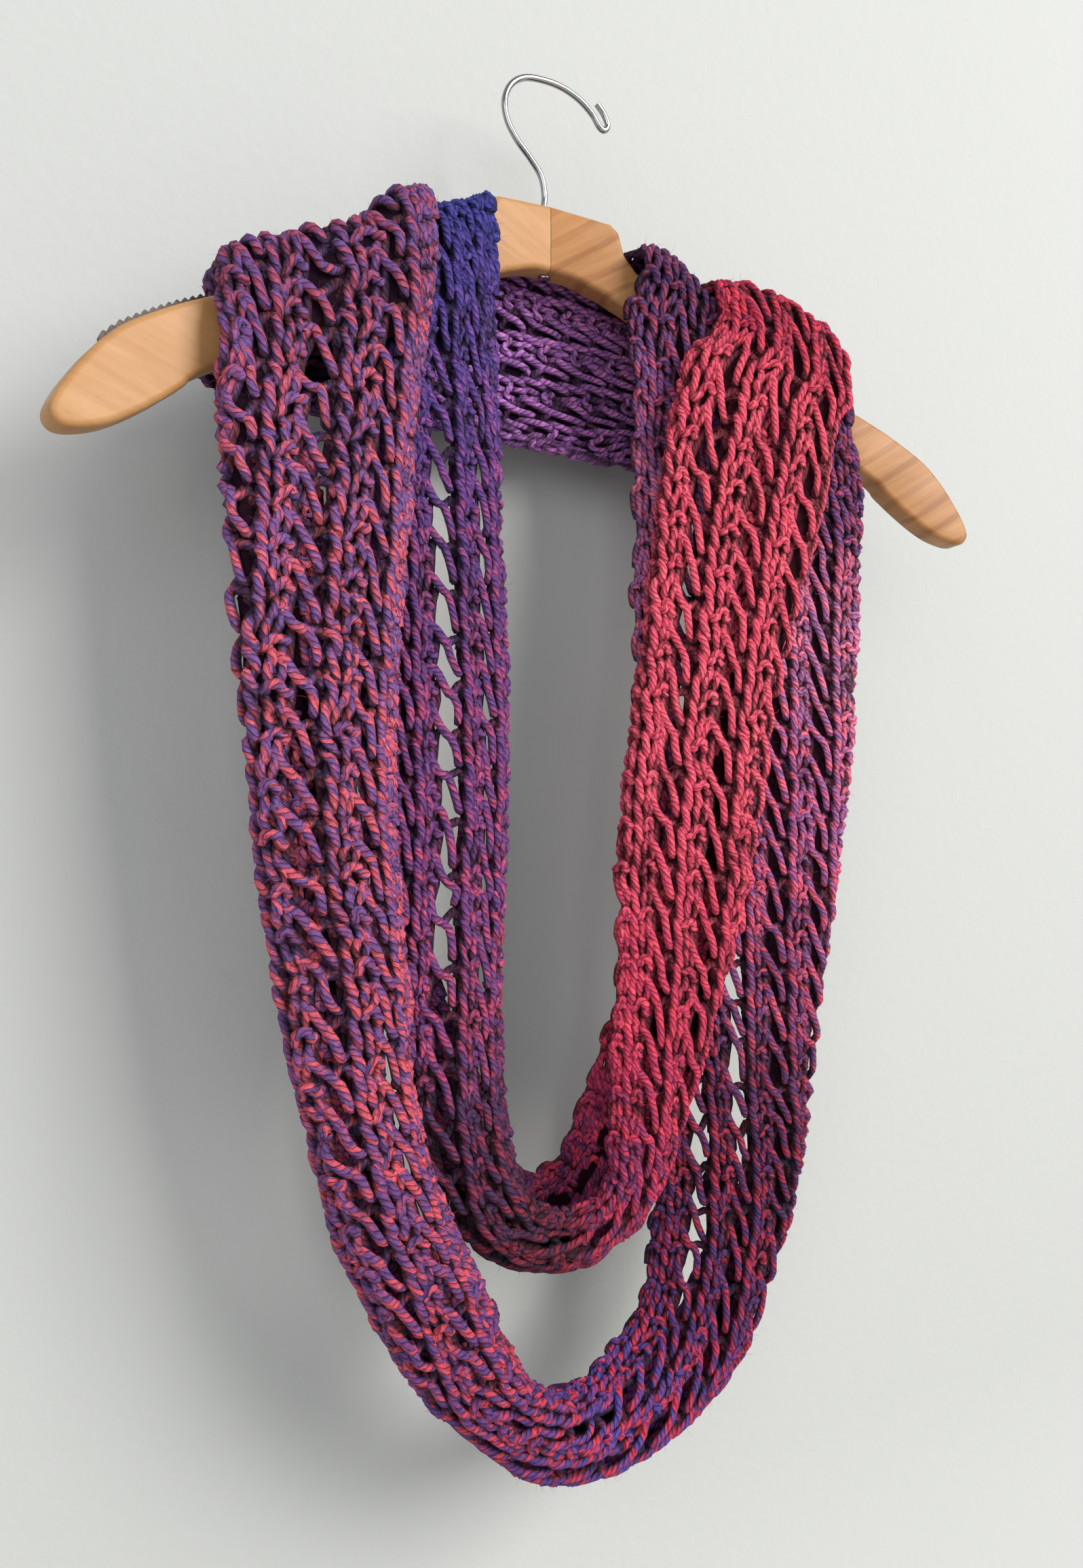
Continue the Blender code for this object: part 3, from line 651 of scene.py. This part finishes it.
def place_on_strip(stitch, row, depth):
    """Points, normals, section numbers and depths for places in stitches, rows and millimetres."""
    stitch = stitch + UNEVEN_STITCH * uneven(0, stitch, row)
    depth = depth + UNEVEN_DEPTH * uneven(2, stitch, row)
    row = row + UNEVEN_ROW * uneven(1, stitch, row)
    line = np.clip((row + GRID_MARGIN) * GRID_STEPS, 0, len(grid_rows) - 1.001)
    i = line.astype(int)
    s = line - i
    j = np.clip(stitch, 0, STITCHES - 0.001).astype(int)
    column = between(edge_table, i, j, s, stitch - j) * GRID_COLUMNS
    k = np.clip(column, 0, GRID_COLUMNS - 1).astype(int)
    points, normals = (between(grid, i, k, s[:, None], (column - k)[:, None])
                       for grid in (grid_points, grid_normals))
    normals /= np.linalg.norm(normals, axis=1, keepdims=True)
    depth = depth * np.interp(line, np.arange(len(grid_rows)), seen_side)
    points = points + normals * depth[:, None]
    points[:, 2] -= BLOCK_DROP
    return points * MM, normals, section_at(row), depth


# ------------------------------------------------ the yarn
# Bulky two-ply wool, one ply warm and one cool, each dyed in long changing runs. It is knitted
# by hand in rows that run to and fro, so one length of yarn makes a whole stretch.

# The yarn's radius by section row: it lies open and full in the broad outer left strand.
YARN_RADIUS = ((0.0, 1.85), (16.0, 1.85), (21.0, 2.10), (37.0, 2.10), (41.0, 1.90), (72.0, 1.85))
TUBE_SIDES = 5
FIRM_TURN = 0.35                   # how far off the cloth's normal the yarn lies to set its turn
SMOOTHING = 5                      # fine steps between two points of a stitch
RING_RUN = 6.5 * MM                # a ring for each such length of straight yarn,
RING_BEND = 1.08                   # and one for each such bend, in radians
LOOP_HEIGHT = 0.72                 # of a row, from a loop's middle to its head
LOOP_DEPTH = 1.35                  # how far the yarn swings before and behind the cloth's middle
# A stitch, from one sinker to the next: across in stitches, up in loop heights, and depth, where
# 0 is the sinker, 1 the foot, 2 the lower and 3 the middle of the leg, 4 its top, 5 the head.
LOOP = ((0.00, -1.00, 0), (0.20, -0.866, 1), (0.31, -0.50, 2), (0.25, 0.0, 3), (0.17, 0.50, 4),
        (0.26, 0.866, 5), (0.50, 1.00, 5), (0.74, 0.866, 5), (0.83, 0.50, 4), (0.75, 0.0, 3),
        (0.69, -0.50, 2), (0.80, -0.866, 1))
# A knit column between the ladders is drawn narrow, its legs crossed.
CROSSED_LOOP = ((0.00, -1.00, -0.9), (0.22, -0.88, -0.7), (0.34, -0.52, 0.9), (0.50, 0.0, 1.2),
                (0.66, 0.50, 0.9), (0.72, 0.86, -0.8), (0.50, 1.02, -0.95), (0.28, 0.86, -0.8),
                (0.36, 0.50, -0.3), (0.50, 0.0, -0.7), (0.64, -0.52, -0.4), (0.78, -0.88, -0.8))
# A ladder from its knit to its purl side: across, up in rows, depth in loop depths. First the
# row tied to the knit column, whose loop leans up across the open space as the bold slant.
LADDER_LOW = ((0.00, -0.72, -0.9), (0.10, -0.80, -0.9), (0.19, -0.76, 0.1), (0.27, -0.55, 1.0),
              (0.36, -0.22, 1.3), (0.45, 0.12, 1.3), (0.55, 0.46, 1.2), (0.64, 0.74, 0.8),
              (0.72, 0.88, 0.0), (0.81, 0.84, -0.8), (0.88, 0.55, -0.8), (0.93, 0.15, -0.6),
              (0.96, -0.30, -0.7))
# Then the row that hangs in it: from the knit column's foot level across behind the slant's head,
# and on up to the purl column, where it comes back behind itself.
LADDER_HIGH = ((0.00, -0.72, -0.9), (-0.05, -0.50, -1.2), (0.02, -0.28, -1.2),
               (0.14, -0.20, -1.1), (0.27, -0.24, -0.9), (0.39, -0.32, -0.5), (0.50, -0.39, 0.1),
               (0.60, -0.38, 0.7), (0.69, -0.28, 1.1), (0.78, -0.10, 1.3), (0.87, 0.10, 1.4),
               (0.96, 0.30, 1.3), (1.05, 0.50, 1.2), (1.14, 0.68, 0.9), (1.24, 0.74, 0.0),
               (1.30, 0.60, -0.9), (1.24, 0.20, -1.2), (1.13, -0.25, -1.1), (1.04, -0.55, -1.0))
SELVAGE_TURN = ((0.14, 0.18), (0.22, 0.5), (0.14, 0.82))    # out in stitches, share of the way


def plain_stitch(column, row, upward):
    if is_knit_column(column, upward):
        return [(column + (x if upward > 0 else 1 - x), y * LOOP_HEIGHT, depth)
                for x, y, depth in CROSSED_LOOP[::upward]]
    this, above = (-1.0 if line % 2 else 1.0 for line in (row, row + upward))
    depths = (-0.9 * this, -0.8 * this, this, (this + above) / 2, above, -0.85 * above)
    return [(column + x, y * LOOP_HEIGHT, depths[key]) for x, y, key in LOOP]


def knitted_row(row):
    """The yarn's way through one row from the inner to the outer selvage: stitch, row, depth."""
    upward = knit_direction(row)
    way = []
    column = 0
    while column < STITCHES:
        if column in LADDERS:
            steps = (LADDER_HIGH if row % 2 else LADDER_LOW)[::upward]
            start = column if upward > 0 else column + 2
            way += [(start + upward * 2 * x, y, depth) for x, y, depth in steps]
            column += 2
        else:
            way += plain_stitch(column, row, upward)
            column += 1
    way = np.array(way + [(STITCHES, -LOOP_HEIGHT, -0.9)])
    way[:, 1] = row + upward * way[:, 1]
    way[:, 2] *= LOOP_DEPTH
    return way


def yarn_way(first_row, last_row):
    """One length of yarn through a run of rows, to and fro, with its turns at the selvages."""
    parts = []
    for row in range(first_row, last_row):
        way = knitted_row(row)[::-1 if row % 2 else 1]
        side, outward = (0, -1) if row % 2 else (STITCHES, 1)
        low, high = way[-1][1], knitted_row(row + 1)[-1 if side else 0][1]
        turn = [(side + outward * out, low + (high - low) * share, 0.0)
                for out, share in SELVAGE_TURN]
        parts += [way, np.array(turn)]
    return np.concatenate(parts)


def smooth_and_thin(centre, normals, sections, depths):
    """Rounds the yarn's way and spends its rings on the bends rather than on straight runs."""
    steps = np.arange(len(centre))
    fine = np.linspace(0, steps[-1], steps[-1] * SMOOTHING + 1)
    index = np.minimum(fine.astype(int), steps[-2])
    near = (centre[np.clip(index + shift, 0, steps[-1])] for shift in (-1, 0, 1, 2))
    path = catmull(*near, (fine - index)[:, None])
    step = np.diff(path, axis=0)
    size = np.linalg.norm(step, axis=1)
    heading = step / size[:, None]
    bend = np.arccos(np.clip(np.sum(heading[1:] * heading[:-1], axis=1), -1, 1))
    cost = np.append(0.0, np.cumsum(size / RING_RUN + np.append(0.0, bend) / RING_BEND))
    rings = np.interp(np.linspace(0, cost[-1], int(cost[-1]) + 1), cost, np.arange(len(path)))
    place = rings / SMOOTHING
    return (read_off(rings, np.arange(len(path)), path), read_off(place, steps, normals),
            np.interp(place, steps, sections), np.interp(place, steps, depths))


def unit(vectors):
    return vectors / np.linalg.norm(vectors, axis=1, keepdims=True)


def point_values(mesh, name, values):
    """A number for each of the mesh's points, for its material to read."""
    attribute = mesh.attributes.new(name, "FLOAT", "POINT")
    attribute.data.foreach_set("value", values.ravel().astype(np.float32))


def yarn_mesh(name, centre, normals, sections, depths, radius):
    """A tube along the yarn: angle and length in its UV map, distance from the cloth's middle."""
    tangent = unit(np.gradient(centre, axis=0))
    across = np.cross(tangent, normals)
    size = np.linalg.norm(across, axis=1)
    firm = np.where(size > FIRM_TURN)[0]
    across = read_off(np.arange(len(centre)), firm, across[firm] / size[firm, None])
    across = unit(across - tangent * np.sum(across * tangent, axis=1, keepdims=True))
    front = np.cross(across, tangent)
    around = np.arange(TUBE_SIDES)
    angle = around / TUBE_SIDES * 2 * math.pi
    verts = centre[:, None] + radius[:, None, None] * (np.cos(angle)[:, None] * front[:, None]
                                                       + np.sin(angle)[:, None] * across[:, None])
    # The corners of each of its faces: one side further round, one ring further along.
    corners = ((0, 0), (0, 1), (1, 1), (1, 0))
    last = len(centre) - 1
    rings = np.arange(last)[:, None]
    quads = np.stack([(rings + ahead) * TUBE_SIDES + (around + aside) % TUBE_SIDES
                      for aside, ahead in corners], axis=2)
    caps = np.append(around, last * TUBE_SIDES + around[::-1])
    loops = np.append(quads, caps)
    starts = np.append(np.arange(last * TUBE_SIDES + 1) * 4, quads.size + TUBE_SIDES)
    mesh = bpy.data.meshes.new(name)
    mesh.vertices.add(verts.size // 3)
    mesh.vertices.foreach_set("co", verts.ravel())
    mesh.loops.add(len(loops))
    mesh.loops.foreach_set("vertex_index", loops.astype(np.int32))
    mesh.polygons.add(len(starts))
    mesh.polygons.foreach_set("loop_start", starts.astype(np.int32))
    mesh.update(calc_edges=True)
    length = run_length(centre)[:, None]
    uv = np.stack([np.stack(np.broadcast_arrays((around[None] + aside) / TUBE_SIDES,
                                                length[ahead:last + ahead]), axis=2)
                   for aside, ahead in corners], axis=2)
    mesh.uv_layers.new(name="yarn").data.foreach_set("uv", np.append(uv, np.zeros(2 * len(caps))))
    point_values(mesh, "dye", np.repeat(sections / SECTIONS, TUBE_SIDES))
    # lift: how far the tube's surface lies from the cloth's middle, read by the wool's painted
    # shade to darken the yarn deep between the stitches.
    point_values(mesh, "lift", np.abs(depths[:, None] + radius[:, None] / MM * np.cos(angle)))
    mesh.shade_smooth()
    mesh.validate()
    return mesh


HAIR_EVERY = 12.0 * MM             # of yarn
HAIR_LENGTH = (2.5, 6.5)           # millimetres
HAIR_RADIUS = 0.055
HAIR_SPREAD, HAIR_KINK = 0.9, 0.5  # how far it leans off the yarn, and bends at its joint
HAIR_FACES = [face for turn, beside in ((0, 1), (1, 2), (2, 0))
              for face in ((turn, beside, 3 + beside), (turn, 3 + beside, 3 + turn),
                           (3 + turn, 3 + beside, 6))] + [(0, 2, 1)]


def fuzz_mesh(name, centre, normals, sections, thickness, random):
    """Stray fibres: thin spikes of two joints that stand off the yarn."""
    length = run_length(centre)
    count = int(length[-1] / HAIR_EVERY)
    place = np.sort(random.uniform(0, length[-1], count))
    out = unit(read_off(place, length, normals) + random.normal(0, HAIR_SPREAD, (count, 3)))
    root = (read_off(place, length, centre)
            + out * 0.7 * np.interp(place, length, thickness)[:, None])
    long = random.uniform(*HAIR_LENGTH, (count, 1)) * MM
    joint = root + out * long * 0.5
    tip = joint + unit(out + random.normal(0, HAIR_KINK, (count, 3))) * long * 0.6
    side = unit(np.cross(out, random.normal(0, 1, (count, 3))))
    other = np.cross(out, side)
    verts = [middle + (math.cos(a) * side + math.sin(a) * other) * HAIR_RADIUS * MM * size
             for middle, size in ((root, 1.0), (joint, 0.8))
             for a in (0.0, 2 * math.pi / 3, 4 * math.pi / 3)] + [tip]
    faces = (np.arange(count) * len(verts))[:, None, None] + np.array(HAIR_FACES)[None]
    mesh = bpy.data.meshes.new(name)
    mesh.from_pydata(np.stack(verts, axis=1).reshape(-1, 3).tolist(), [],
                     faces.reshape(-1, 3).tolist())
    point_values(mesh, "dye", np.repeat(np.interp(place, length, sections) / SECTIONS, len(verts)))
    mesh.shade_smooth()
    return mesh


# Dye along the strip, by section row: the warm ply and the cool ply, as seen in soft light, with
# painted light in two places: the neck band's rows are dyed lighter to make up for the hanger's
# shade over them, and the top of the outer right strand lighter, as where light from the right
# falls full on it.
DYES_AND_PAINTED_LIGHT = (
    # Painted light: the neck band, from here to 3.0 and again at 72.0, dyed lighter against the
    # hanger's shade.
    (0.0, (190, 124, 204), (146, 90, 160)),
    (3.0, (190, 106, 162), (142, 90, 152)),
    (7.5, (124, 46, 76), (74, 42, 90)),
    # Painted light: the outer right strand's top, from here to 12.5, dyed lighter as in light from
    # the right.
    (9.8, (184, 74, 106), (112, 70, 126)),
    (11.0, (246, 124, 152), (172, 110, 160)),
    (12.5, (238, 100, 130), (150, 88, 146)),
    (14.5, (160, 42, 66), (72, 38, 82)),
    (16.5, (178, 46, 74), (80, 46, 104)),
    (18.3, (196, 54, 80), (82, 66, 148)),
    (20.0, (192, 62, 84), (90, 54, 116)),
    (23.0, (208, 82, 96), (106, 66, 122)),
    (28.0, (204, 90, 106), (116, 78, 138)),
    (31.0, (156, 68, 98), (104, 70, 128)),
    (34.5, (104, 50, 82), (86, 58, 112)),
    (37.5, (98, 42, 74), (78, 48, 92)),
    (41.0, (160, 40, 62), (100, 40, 76)),
    (43.0, (222, 56, 78), (160, 44, 80)),
    (45.5, (242, 92, 112), (226, 76, 102)),
    (49.0, (244, 98, 118), (230, 82, 108)),
    (51.5, (226, 66, 92), (188, 52, 88)),
    (53.5, (200, 52, 82), (118, 48, 98)),
    (56.0, (122, 33, 53), (60, 29, 56)),
    (58.5, (132, 42, 70), (68, 40, 78)),
    (60.5, (188, 74, 114), (110, 62, 122)),
    (62.5, (150, 68, 118), (94, 58, 120)),
    (64.5, (122, 72, 146), (86, 60, 134)),
    (66.3, (74, 62, 144), (56, 50, 124)),
    (68.5, (56, 72, 168), (46, 56, 146)),
    (70.5, (76, 72, 158), (58, 54, 134)),
    (72.0, (190, 124, 204), (146, 90, 160)),
)
DYE_DRIFT = 0.03                   # of the way round, by which a change wanders


def make_ply_dyes_and_painted_light():
    """The two plies' colours at a place along the strip."""
    tree, entry, leave = new_group("ply dyes and painted light", [("Place", "Float", 0.0)],
                                   [("Warm", "Color"), ("Cool", "Color")])
    drift = compute(tree, "MULTIPLY_ADD", noise(tree, object_place(tree), 38.0), DYE_DRIFT,
                    -DYE_DRIFT / 2)
    place = compute(tree, "ADD", entry["Place"], drift)
    for label, column in (("Warm", 1), ("Cool", 2)):
        ramp = add_node(tree, "ValToRGB", {0: place})
        while len(ramp.color_ramp.elements) < len(DYES_AND_PAINTED_LIGHT):
            ramp.color_ramp.elements.new(0.5)
        for element, dye in zip(ramp.color_ramp.elements, DYES_AND_PAINTED_LIGHT):
            element.position = dye[0] / SECTIONS
            element.color = linear(*dye[column])
        feed(tree, leave, {label: ramp.outputs["Color"]})
    return tree


ply_dyes_and_painted_light = make_ply_dyes_and_painted_light()
PLY_PITCH = 11.5 * MM              # along the yarn from one warm stripe to the next
WARM_SHARE = 0.40                  # of each turn of the twist, on average
WARM_SHARE_SPREAD = 0.25           # more or less of it, from place to place
STRANDS = 4                        # fine strands in one turn


def own_plies(tree):
    """The two plies' colours at the mesh's own places along the strip."""
    place = add_node(tree, "Attribute", attribute_name="dye").outputs["Fac"]
    return add_node(tree, "Group", {"Place": place}, node_tree=ply_dyes_and_painted_light).outputs


def make_yarn_material():
    wool, tree, shader = new_material("plied wool")
    uv = add_node(tree, "UVMap", uv_map="yarn").outputs["UV"]
    turn, along = add_node(tree, "SeparateXYZ", {"Vector": uv}).outputs[:2]
    coords = object_place(tree)
    wander = compute(tree, "MULTIPLY", noise(tree, coords, 110.0, 1.0), 0.5)
    twist = compute(tree, "ADD", turn, compute(tree, "MULTIPLY", along, 1.0 / PLY_PITCH))
    twist = compute(tree, "ADD", twist, wander)
    share = smooth_range(tree, noise(tree, coords, 70.0), 0.34, 0.66,
                         WARM_SHARE - WARM_SHARE_SPREAD, WARM_SHARE + WARM_SHARE_SPREAD)
    is_cool = compute(tree, "GREATER_THAN", compute(tree, "FRACT", twist), share)

    # Each strand is a round of its own, 0 at its edges and 1 on top.
    strand = compute(tree, "SINE", compute(tree, "MULTIPLY", twist, math.pi * STRANDS))
    rise = compute(tree, "POWER", compute(tree, "ABSOLUTE", strand), 0.6)

    # Fibres lie along each ply: noise drawn out along the stripe.
    drawn = add_node(tree, "CombineXYZ", {0: compute(tree, "MULTIPLY", twist, 24.0),
                                          1: compute(tree, "MULTIPLY", along, 450.0)})
    fibres = noise(tree, drawn.outputs[0], 1.6, 3.0, 0.65)
    hairs = noise(tree, coords, 1600.0, 2.0, 0.7)

    plies = own_plies(tree)
    colour = mix_colour(tree, is_cool, plies["Warm"], plies["Cool"])
    other = mix_colour(tree, is_cool, plies["Cool"], plies["Warm"])
    heather = smooth_range(tree, noise(tree, coords, 240.0, 3.0, 0.6), 0.46, 0.70, 0.0, 0.55)
    colour = mix_colour(tree, heather, colour, other)
    # Painted shade: darker in the plies' grooves and deep between the stitches, by how far each
    # point of the yarn lies from the cloth's middle; the fibres' streaks run lighter and darker
    # along each ply.
    tone = compute(tree, "MULTIPLY", smooth_range(tree, fibres, 0.28, 0.78, 0.42, 1.6),
                   smooth_range(tree, rise, 0.0, 0.75, 0.24, 1.0))
    lift = add_node(tree, "Attribute", attribute_name="lift").outputs["Fac"]
    tone = compute(tree, "MULTIPLY", tone, smooth_range(tree, lift, 0.5, 2.8, 0.18, 1.14))
    colour = darken(tree, colour, tone)
    height = compute(tree, "MULTIPLY_ADD", fibres, 0.45, rise)
    height = compute(tree, "MULTIPLY_ADD", hairs, 0.15, height)
    feed(tree, shader, {"Base Color": colour, "Roughness": 0.75, "Specular IOR Level": 0.3,
                        "Sheen Weight": 0.25, "Sheen Roughness": 0.4, "Sheen Tint": colour,
                        "Normal": bump(tree, height, 1.0, 0.8)})
    return wool


def make_felt_in_painted_shade():
    felt_in_painted_shade, tree, shader = new_material("felted inner fibres in painted shade")
    plies = own_plies(tree)
    tufts = noise(tree, object_place(tree), 420.0, 4.0, 0.7)
    colour = mix_colour(tree, tufts, plies["Warm"], plies["Cool"])
    # Painted shade: the felt is all but black, the shade deep between the stitches, with faint
    # tufts of the plies' colours.
    colour = mix_colour(tree, smooth_range(tree, tufts, 0.35, 0.7, 0.96, 0.99), colour,
                        linear(12, 4, 12))
    feed(tree, shader, {"Base Color": colour, "Roughness": 1.0, "Specular IOR Level": 0.1,
                        "Normal": bump(tree, tufts, 1.0, 1.2)})
    return felt_in_painted_shade


def make_fuzz_material():
    fluff, tree, shader = new_material("stray wool fibres")
    plies = own_plies(tree)
    which = smooth_range(tree, noise(tree, object_place(tree), 150.0, 1.0), 0.45, 0.55)
    feed(tree, shader, {"Base Color": mix_colour(tree, which, plies["Warm"], plies["Cool"]),
                        "Roughness": 0.6, "Specular IOR Level": 0.3})
    return fluff


# The inner layer is painted near black, as the shade deep between the stitches.
GROUND_DEPTH = -0.8                # of the fuzzy inner layer behind the cloth's middle
OPEN_LADDERS = {"outer_right": (3, 11)}
CLOSED_STRETCHES = ("neck_band", "right_shoulder_under", "left_shoulder_over", "neck_band_hidden",
                    "right_shoulder_over", "left_shoulder_under")
GROUND_EDGE = 0.5                  # stitches it stays inside the selvage
LADDER_BARE = 1.5                  # stitches of each ladder that it leaves open
BARE_BELOW = -0.150                # and only clear of the arms, in metres
GROUND_STITCHES = 0.9              # between two of its lines of points, about
GROUND_ROWS = 0.5


def ground_mesh(name, first_row, last_row):
    """Felted fibres that close the cloth between its stitches, painted near black as the shade deep
    between them; the open ladders stay open.
    """
    lines = np.arange(first_row, last_row + 0.001, GROUND_ROWS) - 0.5
    marks, bare, start = [GROUND_EDGE], [], GROUND_EDGE
    for ladder in () if name in CLOSED_STRETCHES else OPEN_LADDERS.get(name, (3, 7)):
        low, high = ladder + 1 - LADDER_BARE / 2, ladder + 1 + LADDER_BARE / 2
        count = max(2, int((low - start) / GROUND_STITCHES) + 1)
        marks += list(np.linspace(start, low, count)[1:]) + [high]
        bare.append(len(marks) - 2)
        start = high
    count = int((STITCHES - start) / GROUND_STITCHES)
    marks += list(np.linspace(start, STITCHES - GROUND_EDGE, count)[1:])
    stitch, row = (grid.ravel() for grid in np.meshgrid(marks, lines))
    points, _, places, _ = place_on_strip(stitch, row, np.full(stitch.size, GROUND_DEPTH))
    shape = bmesh.new()
    verts = [shape.verts.new(point) for point in points]
    wide = len(marks)
    for at in range(len(points) - wide):
        column = at % wide
        if column < wide - 1 and not (column in bare and points[at][2] < BARE_BELOW):
            shape.faces.new((verts[at], verts[at + 1], verts[at + wide + 1], verts[at + wide]))
    mesh = bpy.data.meshes.new(name)
    shape.normal_update()
    shape.to_mesh(mesh)
    area = sum(face.calc_area() for face in shape.faces)
    shape.free()
    point_values(mesh, "dye", places / SECTIONS)
    mesh.shade_smooth()
    return mesh, area


def strip_size(first_row, last_row):
    """Flat width and length of a stretch, from the middle of the strip's own surface."""
    lines = slice((first_row + GRID_MARGIN) * GRID_STEPS, (last_row + GRID_MARGIN) * GRID_STEPS + 1)
    part = grid_points[lines]
    wide, long = (np.linalg.norm(np.diff(part, axis=axis), axis=2).sum(axis=axis).mean()
                  for axis in (1, 0))
    return wide * MM, long * MM


THICK_AND_THIN = 0.05              # how far the yarn's thickness varies along it
wool, fluff, felt_in_painted_shade = make_yarn_material(), make_fuzz_material(), make_felt_in_painted_shade()
ends = [*first_rows.values(), ROWS]
for index, (name, _, yarn_slot, _) in enumerate(STRETCHES):
    first_row, last_row = ends[index:index + 2]
    centre, normals, sections, depths = smooth_and_thin(
        *place_on_strip(*yarn_way(first_row, last_row).T))
    slubs = np.convolve(np.random.default_rng(40 + index).normal(0, 1, len(centre)),
                        np.ones(6) / 2.4, mode="same")
    radius = np.interp(sections, *zip(*YARN_RADIUS)) * MM * (1 + THICK_AND_THIN * slubs)
    ground_cloth, area = ground_mesh("ground_" + name, first_row, last_row)
    yarn = add_object("yarn_" + name, yarn_mesh("yarn_" + name, centre, normals, sections, depths,
                                                radius))
    fuzz = add_object("fuzz_" + name, fuzz_mesh("fuzz_" + name, centre, normals, sections, radius,
                                                np.random.default_rng(80 + index)))
    ground = add_object("ground_" + name, ground_cloth)
    for piece, material in ((yarn, wool), (fuzz, fluff), (ground, felt_in_painted_shade)):
        piece.data.materials.append(material)
        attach(piece, "root")
    wide, long = strip_size(first_row, last_row)
    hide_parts(name)


# ------------------------------------------------ stage, light and camera
# A plain pale sweep close behind the scarf, one big soft light from the front right, and a
# camera level with the middle of the scarf, to its left.

SWEEP_BACK, SWEEP_FRONT = 0.042, -3.0
SWEEP_FLOOR, SWEEP_TOP = -0.95, 1.6
SWEEP_ROUND = 0.25
SWEEP_STEPS = 12
SWEEP_HALF_WIDTH = 2.5

side_line = [(SWEEP_FRONT, SWEEP_FLOOR)]
for step in range(SWEEP_STEPS + 1):
    a = math.pi / 2 * step / SWEEP_STEPS
    side_line.append((SWEEP_BACK - SWEEP_ROUND + SWEEP_ROUND * math.sin(a),
                      SWEEP_FLOOR + SWEEP_ROUND * (1 - math.cos(a))))
side_line.append((SWEEP_BACK, SWEEP_TOP))
sweep_mesh = bpy.data.meshes.new("pale sweep")
sweep_mesh.from_pydata([(x, y, z) for y, z in side_line
                        for x in (-SWEEP_HALF_WIDTH, SWEEP_HALF_WIDTH)], [],
                       [(i, i + 1, i + 3, i + 2) for i in range(0, 2 * len(side_line) - 2, 2)])
sweep_mesh.shade_smooth()

paper, tree, shader = new_material("matt pale paper")
feed(tree, shader, {
    "Base Color": linear(188, 189, 186), "Roughness": 0.95, "Specular IOR Level": 0.1,
    "Normal": bump(tree, noise(tree, object_place(tree), 180.0, 3.0, 0.55), 0.35, 1.0)})
# From behind the paper isn't seen, so that the scarf is.
behind = add_node(tree, "NewGeometry").outputs["Backfacing"]
seen = add_node(tree, "MixShader", {0: behind, 1: shader.outputs["BSDF"],
                                    2: add_node(tree, "BsdfTransparent").outputs["BSDF"]})
output = next(node for node in tree.nodes if node.type == "OUTPUT_MATERIAL")
feed(tree, output, {"Surface": seen.outputs["Shader"]})
sweep_mesh.materials.append(paper)
sweep = add_object("pale_sweep", sweep_mesh)

world = bpy.data.worlds.new("soft room")
world.use_nodes = True
feed(world.node_tree, world.node_tree.nodes["Background"],
     {"Color": (0.86, 0.90, 0.96, 1), "Strength": 0.40})
bpy.context.scene.world = world
bpy.context.scene.view_settings.view_transform = "Standard"

SCARF_MIDDLE = Vector((0.0, 0.0, -0.3))
LIGHTS = (
    # name, place, width, height, watts, colour
    ("window", (2.0, -2.9, 1.3), 2.2, 2.4, 180.0, (1.0, 0.985, 0.96)),
    ("fill", (-1.2, -1.8, 0.3), 1.6, 1.6, 17.0, (0.94, 0.96, 1.0)),
)
for name, place, width, height, watts, colour in LIGHTS:
    lamp = bpy.data.lights.new(name, "AREA")
    lamp.shape = "RECTANGLE"
    lamp.size, lamp.size_y = width, height
    lamp.energy = watts
    lamp.color = colour
    light = add_object(name, lamp)
    light.location = place
    light.rotation_euler = (SCARF_MIDDLE - Vector(place)).to_track_quat("-Z", "Y").to_euler()

CAMERA_YAW = math.radians(27.0)
lens = bpy.data.cameras.new("level camera")
lens.sensor_fit = "VERTICAL"
lens.sensor_height = 36.0
lens.lens = 26.0
lens.clip_start = 0.01
camera = add_object("level camera", lens)
camera.location = (-0.2425, -0.4735, -0.329)
camera.rotation_euler = (math.pi / 2, 0.0, -CAMERA_YAW)
bpy.context.scene.camera = camera
